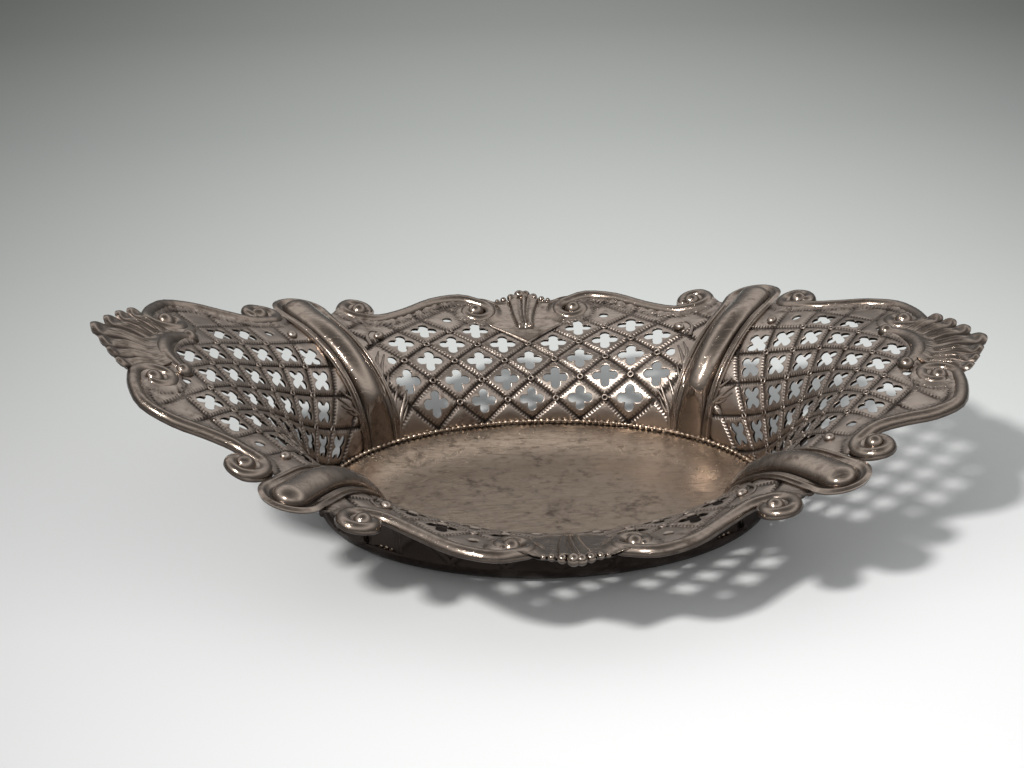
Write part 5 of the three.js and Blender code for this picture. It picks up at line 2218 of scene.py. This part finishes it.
@dataclass
class FloorPlate:
    """The oval floor: a flat middle whose top rises gently to the seam, over a rounded underside."""

    finishes: Finishes
    gauge: float = 0.8
    edge: float = 0.35
    around: int = 192
    bends: int = 10
    flat_rings: int = 24
    rise_width: float = 15.0
    rise_power: float = 1.9
    seam_gap: float = 0.1
    pole: float = 0.002
    dark_edge: tuple[float, float] = (0.7, 0.97)
    outside_dark: float = 1.0
    middle_dark: float = 0.48

    def build(self) -> bpy.types.Object:
        """Builds the floor plate.

        Returns:
            Its object.
        """
        seam = WALL.foot_height
        bend = np.linspace(0, math.pi / 2, self.bends + 1)
        outside = np.stack([seam * (1 - np.sin(bend)), seam * (1 - np.cos(bend))], 1)
        share = np.linspace(0, 1, self.bends + 1)
        rise = seam - self.seam_gap - self.gauge
        insets = self.edge + self.rise_width * (1 - share)
        inside = np.stack([insets, self.gauge + rise * share**self.rise_power], 1)
        length = WALL.foot_half_length + self.edge
        width = WALL.foot_half_width + self.edge
        rings = [(length - inset, width - inset, height) for inset, height in [*outside, *inside[::-1]]]
        first, top = rings[0], rings[-1]
        low = [(first[0] * s, first[1] * s, 0.0) for s in np.linspace(self.pole, 1, self.flat_rings)[:-1]]
        high = [(top[0] * s, top[1] * s, self.gauge) for s in np.linspace(1, self.pole, self.flat_rings)[1:]]
        rings = np.array([*low, *rings, *high])
        turn = np.arange(self.around) / self.around * math.tau
        x = rings[:, None, 0] * np.cos(turn)[None, :]
        y = rings[:, None, 1] * np.sin(turn)[None, :]
        z = rings[:, None, 2] * np.ones(self.around)[None, :]
        points = np.stack([x, y, z], -1).transpose(1, 0, 2).reshape(-1, 3)
        triangles = grid_triangles(self.around, len(rings), closed=True)
        dark = self.middle_dark * (1 - step(rings[:, 0] / length, *self.dark_edge))
        # Painted shade: the underside and outer bend are fully dark.
        dark[: len(low) + self.bends + 1] = self.outside_dark
        skin = Skin(points, triangles, {Mark.HOLLOW: np.tile(dark, self.around)}).welded()
        return add_piece("floor_plate", skin, self.finishes.floor)


@dataclass
class BeadWire:
    """The beaded wire that covers the seam between floor and walls."""

    finishes: Finishes
    beads: int = 190
    bead_radius: float = 0.52
    core_radius: float = 0.2
    inset: float = 0.45
    height: float = 3.5
    stations: int = 360
    core_sides: int = 8
    ball_segments: int = 8
    ball_rings: int = 5
    dirt: tuple[float, float] = (-0.3, 0.2)

    def build(self) -> bpy.types.Object:
        """Builds the wire.

        Returns:
            Its object.
        """
        turn = np.linspace(0, math.tau, self.stations + 1)[:-1]
        length = WALL.foot_half_length - self.inset
        width = WALL.foot_half_width - self.inset
        level = np.full(self.stations, self.height)
        spots = np.stack([length * np.cos(turn), width * np.sin(turn), level], 1)
        edges = [(i, (i + 1) % len(spots)) for i in range(len(spots))]
        points, triangles, _ = self._tree().run(spots, edges, {})
        # Painted shade on the lower half of the beads and core.
        hollow = tone_and_low_shade(points[:, 2] - self.height, *self.dirt)
        skin = Skin(points, triangles, {Mark.HOLLOW: hollow})
        return add_piece("floor_bead_wire", skin, self.finishes.floor)

    def _tree(self) -> Growth:
        """The tree that strings beads on a core.

        Returns:
            The tree.
        """
        sizes = {"Bead radius": self.bead_radius, "Core radius": self.core_radius, "Beads": float(self.beads)}
        growth = Growth("bead_string", sizes, self.finishes.mounts)
        nodes = growth.nodes
        line = nodes.out("GeometryNodeMeshToCurve", {}, {"Mesh": growth.base()})
        feeds = {"Resolution": self.core_sides, "Radius": growth.size("Core radius")}
        ring = nodes.out("GeometryNodeCurvePrimitiveCircle", {}, feeds)
        core = nodes.out("GeometryNodeCurveToMesh", {}, {"Curve": line, "Profile Curve": ring})
        string = nodes.out("GeometryNodeResampleCurve", {}, {"Curve": line, "Count": growth.size("Beads")})
        feeds = {"Segments": self.ball_segments, "Rings": self.ball_rings}
        feeds["Radius"] = growth.size("Bead radius")
        ball = nodes.out("GeometryNodeMeshUVSphere", {}, feeds)
        beads = nodes.out("GeometryNodeInstanceOnPoints", {}, {"Points": string, "Instance": ball})
        growth.finish(nodes.out("GeometryNodeJoinGeometry", {}, {0: [core, beads]}))
        return growth


# Studio


@dataclass
class Studio:
    """Pale sweep, one key lamp from the front left, and the camera."""

    camera_place: tuple[float, float, float] = (-0.03201, -0.37300, 0.18580)
    camera_back: tuple[float, float, float] = (-0.06325, -0.91657, 0.39485)
    camera_roll: float = -0.0049
    lens: float = 77.45
    key_from: tuple[float, float, float] = (-0.65, -0.66, 1.0)
    key_strength: float = 2.3
    key_angle: float = 0.11
    fill: float = 0.55
    surround: tuple[tuple[float, float], ...] = (
        (0.0, 0.12),
        (0.22, 0.22),
        (0.4, 0.37),
        (0.55, 0.85),
        (0.68, 1.15),
        (0.8, 0.7),
        (0.9, 0.34),
        (1.0, 0.22),
    )
    floor_half_size: float = 6.0
    floor_depth: float = 0.0001
    sensor_width: float = 36.0
    nearest_seen: float = 0.01
    farthest_seen: float = 20.0
    key_colour: Colour = (1.0, 0.985, 0.96)
    near_edge: float = 0.14
    fade_length: float = 0.6
    pool_centre: float = 0.025
    pool_half_width: float = 0.185
    pool_share: float = 0.75
    sweep: tuple[tuple[float, Colour], ...] = (
        (0.0, (0.97, 0.98, 0.985)),
        (0.16, (0.95, 0.965, 0.97)),
        (0.31, (0.74, 0.76, 0.755)),
        (0.46, (0.57, 0.59, 0.58)),
        (0.65, (0.39, 0.41, 0.4)),
        (0.85, (0.255, 0.267, 0.256)),
        (1.0, (0.2, 0.21, 0.2)),
    )

    def build(self) -> None:
        """Sets the camera, lamps, world and floor."""
        scene = bpy.context.scene
        scene.view_settings.view_transform = "Standard"
        self._camera()
        self._key()
        self._world()
        self._floor()

    def _camera(self) -> None:
        """The camera."""
        data = bpy.data.cameras.new("camera")
        data.lens = self.lens
        data.sensor_width = self.sensor_width
        data.clip_start = self.nearest_seen
        data.clip_end = self.farthest_seen
        camera = bpy.data.objects.new("camera", data)
        bpy.context.scene.collection.objects.link(camera)
        back = Vector(self.camera_back).normalized()
        right = Vector((-back.y, back.x, 0.0)).normalized()
        up = back.cross(right)
        turned = Matrix((right, up, back)).transposed().to_4x4()
        roll = Matrix.Rotation(self.camera_roll, 4, "Z")
        camera.matrix_world = Matrix.Translation(self.camera_place) @ turned @ roll
        bpy.context.scene.camera = camera

    def _key(self) -> None:
        """The key lamp."""
        data = bpy.data.lights.new("key", "SUN")
        data.energy = self.key_strength
        data.angle = self.key_angle
        data.color = self.key_colour
        lamp = bpy.data.objects.new("key", data)
        lamp.rotation_euler = Vector(self.key_from).to_track_quat("Z", "Y").to_euler()
        bpy.context.scene.collection.objects.link(lamp)

    def _world(self) -> None:
        """The world: a plain fill, and the surround that metal shows."""
        world = bpy.data.worlds.new("studio")
        world.use_nodes = True
        world.node_tree.nodes.clear()
        nodes = Nodes(world.node_tree)
        path = nodes.node("ShaderNodeLightPath")
        seen = (
            Wire(nodes, path.outputs["Is Camera Ray"])
            + Wire(nodes, path.outputs["Is Glossy Ray"])
            + Wire(nodes, path.outputs["Is Transmission Ray"])
        ).rises(0.0, 1.0)
        direction = nodes.out("ShaderNodeTexCoord", name="Generated")
        height = Wire(nodes, nodes.node("ShaderNodeSeparateXYZ", {}, {0: direction}).outputs["Z"])
        stops = [(place, (level,) * 3) for place, level in self.surround]
        shown = nodes.out("ShaderNodeValToRGB", {"stops": stops}, {"Fac": height}, name="Color")
        colour = nodes.blend(seen, (self.fill,) * 3, shown)
        surface = nodes.out("ShaderNodeBackground", {}, {"Color": colour, "Strength": 1.0})
        nodes.node("ShaderNodeOutputWorld", {}, {"Surface": surface})
        bpy.context.scene.world = world

    def _floor(self) -> None:
        """The pale floor, with painted light: darker towards the back, and darker towards the sides outside a
        pool in the middle.
        """
        half = self.floor_half_size
        mesh = bpy.data.meshes.new("floor")
        corners = [(-half, -half), (half, -half), (half, half), (-half, half)]
        mesh.from_pydata([(x, y, -self.floor_depth) for x, y in corners], [], [(0, 1, 2, 3)])
        material = bpy.data.materials.new("pale_sweep")
        material.use_nodes = True
        material.node_tree.nodes.clear()
        nodes = Nodes(material.node_tree)
        place = nodes.out("ShaderNodeTexCoord", name="Object")
        parts = nodes.node("ShaderNodeSeparateXYZ", {}, {0: place})
        x = Wire(nodes, parts.outputs["X"])
        y = Wire(nodes, parts.outputs["Y"])
        # Painted falloff of light: the sweep darkens towards the back.
        depth = (y + self.near_edge) / self.fade_length
        ramp = nodes.out("ShaderNodeValToRGB", {"stops": self.sweep}, {"Fac": depth}, name="Color")
        # Painted pool of light: the sweep darkens towards the sides.
        aside = (x - self.pool_centre) / self.pool_half_width
        pool = (aside * aside * -1.0).maths("EXPONENT") * self.pool_share + (1 - self.pool_share)
        ramp = nodes.blend(pool, (0.0, 0.0, 0.0), ramp)
        shader = nodes.out("ShaderNodeBsdfDiffuse", {}, {"Color": ramp})
        nodes.node("ShaderNodeOutputMaterial", {}, {"Surface": shader})
        mesh.materials.append(material)
        floor = bpy.data.objects.new("floor", mesh)
        bpy.context.scene.collection.objects.link(floor)


def main() -> None:
    """Builds the dish and its studio."""
    logging.basicConfig(level=logging.INFO, format="%(message)s")
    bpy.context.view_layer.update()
    Studio().build()
    finishes = Finishes()
    pieces = [FloorPlate(finishes), BeadWire(finishes), *pierced_panels(finishes)]
    pieces += [Flute(finishes, quarter) for quarter in Quarter]
    pieces += [*rim_scrolls(finishes), *collars(finishes), *shells(finishes)]
    for piece in pieces:
        piece.build()


if __name__ == "__main__":
    main()
